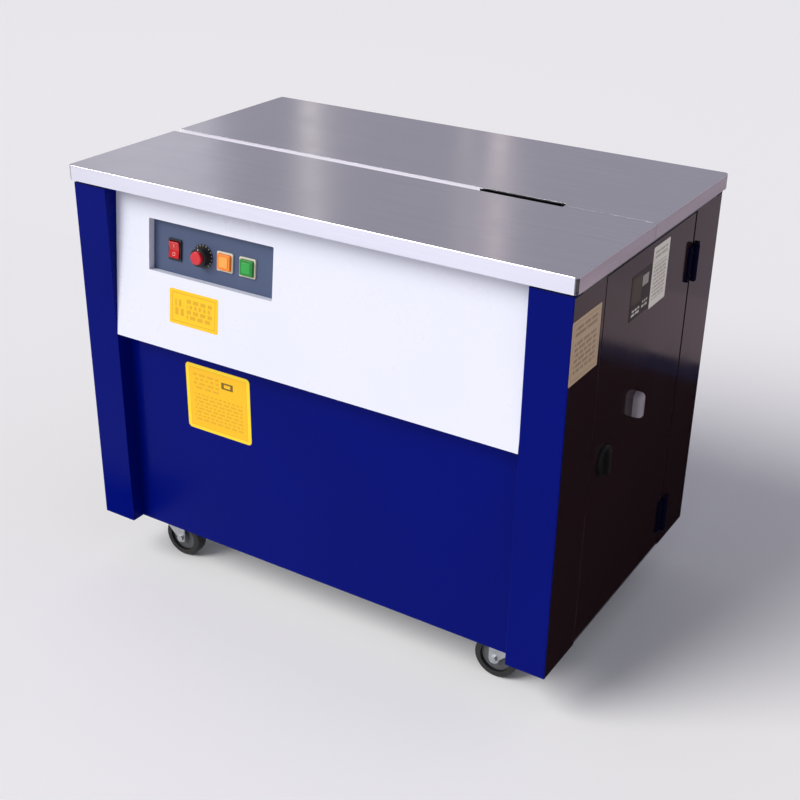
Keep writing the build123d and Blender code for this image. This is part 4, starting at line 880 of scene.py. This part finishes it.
def makeReelTrim():
    hub = Vector(joints["reel_spin"]["pos_m"])
    low, high = lowOf("reel_flanges"), highOf("reel_flanges")
    radius = (high.x - low.x) / 2 - reelTrim["rim"] * mm
    for index, y in enumerate((low.y + reelTrim["rimIn"] * mm, high.y - reelTrim["rimIn"] * mm)):
        nothingSelected()
        bpy.ops.mesh.primitive_torus_add(location=(hub.x, y, hub.z), rotation=(math.radians(90), 0, 0),
                                         major_segments=96, minor_segments=12, major_radius=radius,
                                         minor_radius=reelTrim["rim"] * mm)
        rim = bpy.context.object
        rim.name = f"reelRim_{index}"
        settle(rim)
        leaveEdit(rim)
        finishPiece(rim, "reel", plastic["reelPolymer"])
    shaftLow, shaftHigh = lowOf("reel_core").y, highOf("reel_core").y
    for index, (y, side) in enumerate(((shaftLow, -1), (shaftHigh, 1))):
        place = (hub.x, y - side * reelTrim["collarGap"] * mm, hub.z)
        collar = addCylinder(reelTrim["collar"] * mm, reelTrim["collarLong"] * mm, place, 40,
                             rotation=(math.radians(90), 0, 0))
        collar.name = f"reelCollar_{index}"
        selectFaces(collar, lambda face: abs(face.normal.y) > 0.9)
        bpy.ops.mesh.inset(thickness=reelTrim["collarEdge"] * mm)
        sink = {"value": -reelTrim["collarDish"] * mm}
        bpy.ops.mesh.extrude_region_shrink_fatten(TRANSFORM_OT_shrink_fatten=sink)
        leaveEdit(collar)
        finishPiece(collar, "reel", metal["zincSteel"])


makeReelTrim()

# ---- motor: terminal box with a sunk lid, and bars over the fan's air inlet

motorTrim = {"boxLong": 74, "boxTall": 46, "boxOut": 14, "boxIn": 8, "rim": 1.2, "lid": 3, "lidFrame": 5,
             "lidSink": 1, "round": 1.2, "screwIn": 4.6, "screwProud": 0.1, "bars": 10, "barIn": 12,
             "barOut": 34, "barWide": 4, "barDeep": 1.2, "barRound": 0.5}


def makeMotorTrim():
    low, high = lowOf("drive_motor"), highOf("drive_motor")
    bodyRadius = (high.y - low.y) / 2
    axisZ, axisY = low.z + bodyRadius, (low.y + high.y) / 2
    middleX = (low.x + high.x) / 2
    longHalf, tallHalf = motorTrim["boxLong"] * mm / 2, motorTrim["boxTall"] * mm / 2
    front, back = low.y - motorTrim["boxOut"] * mm, low.y + motorTrim["boxIn"] * mm
    case = addBlock("terminalBox", (middleX - longHalf, front, axisZ - tallHalf),
                    (middleX + longHalf, back, axisZ + tallHalf))
    selectFaces(case, lambda face: face.normal.y < -0.9)
    bpy.ops.mesh.inset(thickness=motorTrim["rim"] * mm)
    bpy.ops.mesh.extrude_region_move(TRANSFORM_OT_translate={"value": (0, -motorTrim["lid"] * mm, 0)})
    bpy.ops.mesh.inset(thickness=motorTrim["lidFrame"] * mm)
    bpy.ops.transform.translate(value=(0, motorTrim["lidSink"] * mm, 0))
    leaveEdit(case)
    modify(case, "BEVEL", width=motorTrim["round"] * mm, segments=3, limit_method="ANGLE")
    leaveEdit(case)
    finishPiece(case, "cabinet", enamel["motorEnamel"])
    screwY = front - (motorTrim["lid"] - motorTrim["screwProud"]) * mm
    dx, dz = (half - motorTrim["screwIn"] * mm for half in (longHalf, tallHalf))
    spots = [((middleX + x, screwY, axisZ + z), (0, -1, 0)) for x in (-dx, dx) for z in (-dz, dz)]
    lidScrew = panScrew(scale=0.55)
    placeCopies(lidScrew, "lidScrew", "cabinet", metal["zincSteel"], spots)
    dropMaster(lidScrew)
    # the bars stand round the shaft
    deep, wide, near, far = (motorTrim[key] * mm for key in ("barDeep", "barWide", "barIn", "barOut"))
    bar = addBlock("cowlBar", (-deep, -wide / 2, near), (0, wide / 2, far))
    bevelEdges(bar, lambda a, b: max(a.x, b.x) < -close, motorTrim["barRound"] * mm, 3)
    for index in range(motorTrim["bars"]):
        turn = Matrix.Rotation(2 * math.pi * index / motorTrim["bars"], 4, "X")
        place = Matrix.Translation((low.x, axisY, axisZ)) @ turn
        finishPiece(copyPiece(bar, f"cowlBar_{index}", place), "cabinet", plastic["beltRubber"])
    dropMaster(bar)


makeMotorTrim()
print("stiffeners, stops, seals, reel and motor trim made")

# ---- camera, lights and floor

view = {"place": (1.0659, -1.7182, 1.3243), "azimuth": 31.614, "elevation": 26.401, "roll": 0.988,
        "lens": 58.16}


def makeCamera():
    nothingSelected()
    bpy.ops.object.camera_add(location=view["place"])
    camera = bpy.context.object
    azimuth, elevation, roll = (math.radians(view[key]) for key in ("azimuth", "elevation", "roll"))
    right = Vector((math.cos(azimuth), math.sin(azimuth), 0))
    back = Vector((math.sin(azimuth) * math.cos(elevation), -math.cos(azimuth) * math.cos(elevation),
                   math.sin(elevation)))
    up = back.cross(right)
    rightRolled = right * math.cos(roll) + up * math.sin(roll)
    upRolled = up * math.cos(roll) - right * math.sin(roll)
    turn = Matrix((rightRolled, upRolled, back)).transposed().to_4x4()
    camera.matrix_world = Matrix.Translation(view["place"]) @ turn
    camera.data.lens = view["lens"]
    camera.data.clip_end = 200
    bpy.context.scene.camera = camera


# place, aim, size, power and colour of each soft light
softLights = {
    "streakRight": {"place": (-1.63, 3.5, 2.0), "aim": (0.15, 0.1, 0.735), "size": (0.07, 1.6),
                    "power": 0.16, "colour": "#FFE9DC"},
    "streakRightThin": {"place": (-1.80, 3.5, 2.0), "aim": (0.15, 0.1, 0.735), "size": (0.02, 1.6),
                        "power": 0.05, "colour": "#FFE9DC"},
    "streakLeft": {"place": (-2.70, 3.5, 2.0), "aim": (-0.2, 0.1, 0.735), "size": (0.09, 1.6),
                   "power": 0.22, "colour": "#FFF4E8"},
    "softLeft": {"place": (-3.9, 3.5, 2.3), "aim": (-0.4, 0.0, 0.735), "size": (0.9, 1.2),
                 "power": 0.9, "colour": "#FFFFFF"},
}
sunLight = {"heading": (0.6, 0.8), "elevation": 40, "strength": 2.6, "softness": 36, "colour": "#FFFDFA"}
# cards beside the machine, seen only in reflections, paint reflections into the gloss black sides: the dark
# ones are painted shade standing for the shaded floor near the machine, the blue band and the paler ones
# paint the floor and wall beyond
reflectionCards = {
    # rightFlag and leftFlag are painted shade seen in reflection, rightFlagEdge a painted blue reflected
    # band, rightFloor and rightWall painted reflections of a paler floor and wall
    "rightFlag": {"low": (0.46, -2.5), "high": (3.5, 1.03), "colour": "#1E1719"},
    "rightFlagEdge": {"low": (0.46, 1.03), "high": (3.5, 1.13), "colour": "#22345A"},
    "rightFloor": {"low": (0.46, 1.13), "high": (3.5, 1.55), "colour": "#B3A3A8"},
    "rightWall": {"low": (0.46, 1.55), "high": (3.5, 5.0), "colour": "#A3979F"},
    # this card glows and shows only in reflections: a painted highlight along the stainless table skirt
    "paintedSkirtHighlight": {"low": (-2.6, -3.6), "high": (0.4, -1.5), "colour": "#F3F6FF", "glow": 0.36},
    "leftFlag": {"low": (-3.5, -0.5), "high": (-0.46, 0.95), "colour": "#1E1719"},
}
studio = {"world": "#9D9CA6", "worldStrength": 1.0, "floor": "#F8F8F8", "floorSize": 60}


def addCard(name, cardMaterialName, low, high, height, look):
    # a flat stage piece between two corners
    card = addSheet(name, ((low[0] + high[0]) / 2, (low[1] + high[1]) / 2, height),
                    (high[0] - low[0], high[1] - low[1]))
    cardMaterial = startMaterial(cardMaterialName)
    closeMaterial(cardMaterial, addNode(cardMaterial, "BsdfPrincipled", look))
    card.data.materials.append(cardMaterial)
    return card


def makeStudio():
    scene = bpy.context.scene
    scene.view_settings.view_transform = "Standard"
    scene.world = bpy.data.worlds.new("studio")
    scene.world.use_nodes = True
    background = scene.world.node_tree.nodes["Background"]
    background.inputs["Color"].default_value = linearColour(studio["world"])
    background.inputs["Strength"].default_value = studio["worldStrength"]
    nothingSelected()
    bpy.ops.object.light_add(type="SUN", location=(-2, -3, 4))
    sun = bpy.context.object
    rise = math.radians(sunLight["elevation"])
    heading = Vector(sunLight["heading"]).normalized()
    travel = Vector((heading.x * math.cos(rise), heading.y * math.cos(rise), -math.sin(rise)))
    sun.rotation_euler = travel.to_track_quat("-Z", "Y").to_euler()
    sun.data.energy = sunLight["strength"]
    sun.data.angle = math.radians(sunLight["softness"])
    sun.data.color = linearColour(sunLight["colour"])[:3]
    for name, light in softLights.items():
        nothingSelected()
        bpy.ops.object.light_add(type="AREA", location=light["place"])
        lamp = bpy.context.object
        lamp.name = name
        lamp.data.shape = "RECTANGLE"
        lamp.data.size, lamp.data.size_y = light["size"]
        lamp.data.energy = light["power"]
        lamp.data.color = linearColour(light["colour"])[:3]
        beam = Vector(light["aim"]) - Vector(light["place"])
        lamp.rotation_euler = beam.to_track_quat("-Z", "Y").to_euler()
    half = studio["floorSize"] / 2
    addCard("studioFloor", "paleFloor", (-half, -half), (half, half), 0,
            {"Base Color": linearColour(studio["floor"]), "Roughness": 0.85, "Specular IOR Level": 0.2})
    for name, reflectionCard in reflectionCards.items():
        colour = linearColour(reflectionCard["colour"])
        card = addCard(name, name + "Cloth", reflectionCard["low"], reflectionCard["high"], 2 * mm,
                       {"Base Color": colour, "Roughness": 1.0, "Specular IOR Level": 0.0,
                        # a card's glow is emission that paints a bright reflection; the card is no lamp
                        "Emission Color": colour, "Emission Strength": reflectionCard.get("glow", 0.0)})
        # a card shows only in polished surfaces, so its colour is a painted reflection
        card.visible_camera = card.visible_diffuse = card.visible_shadow = False


makeCamera()
makeStudio()
print("studio made")
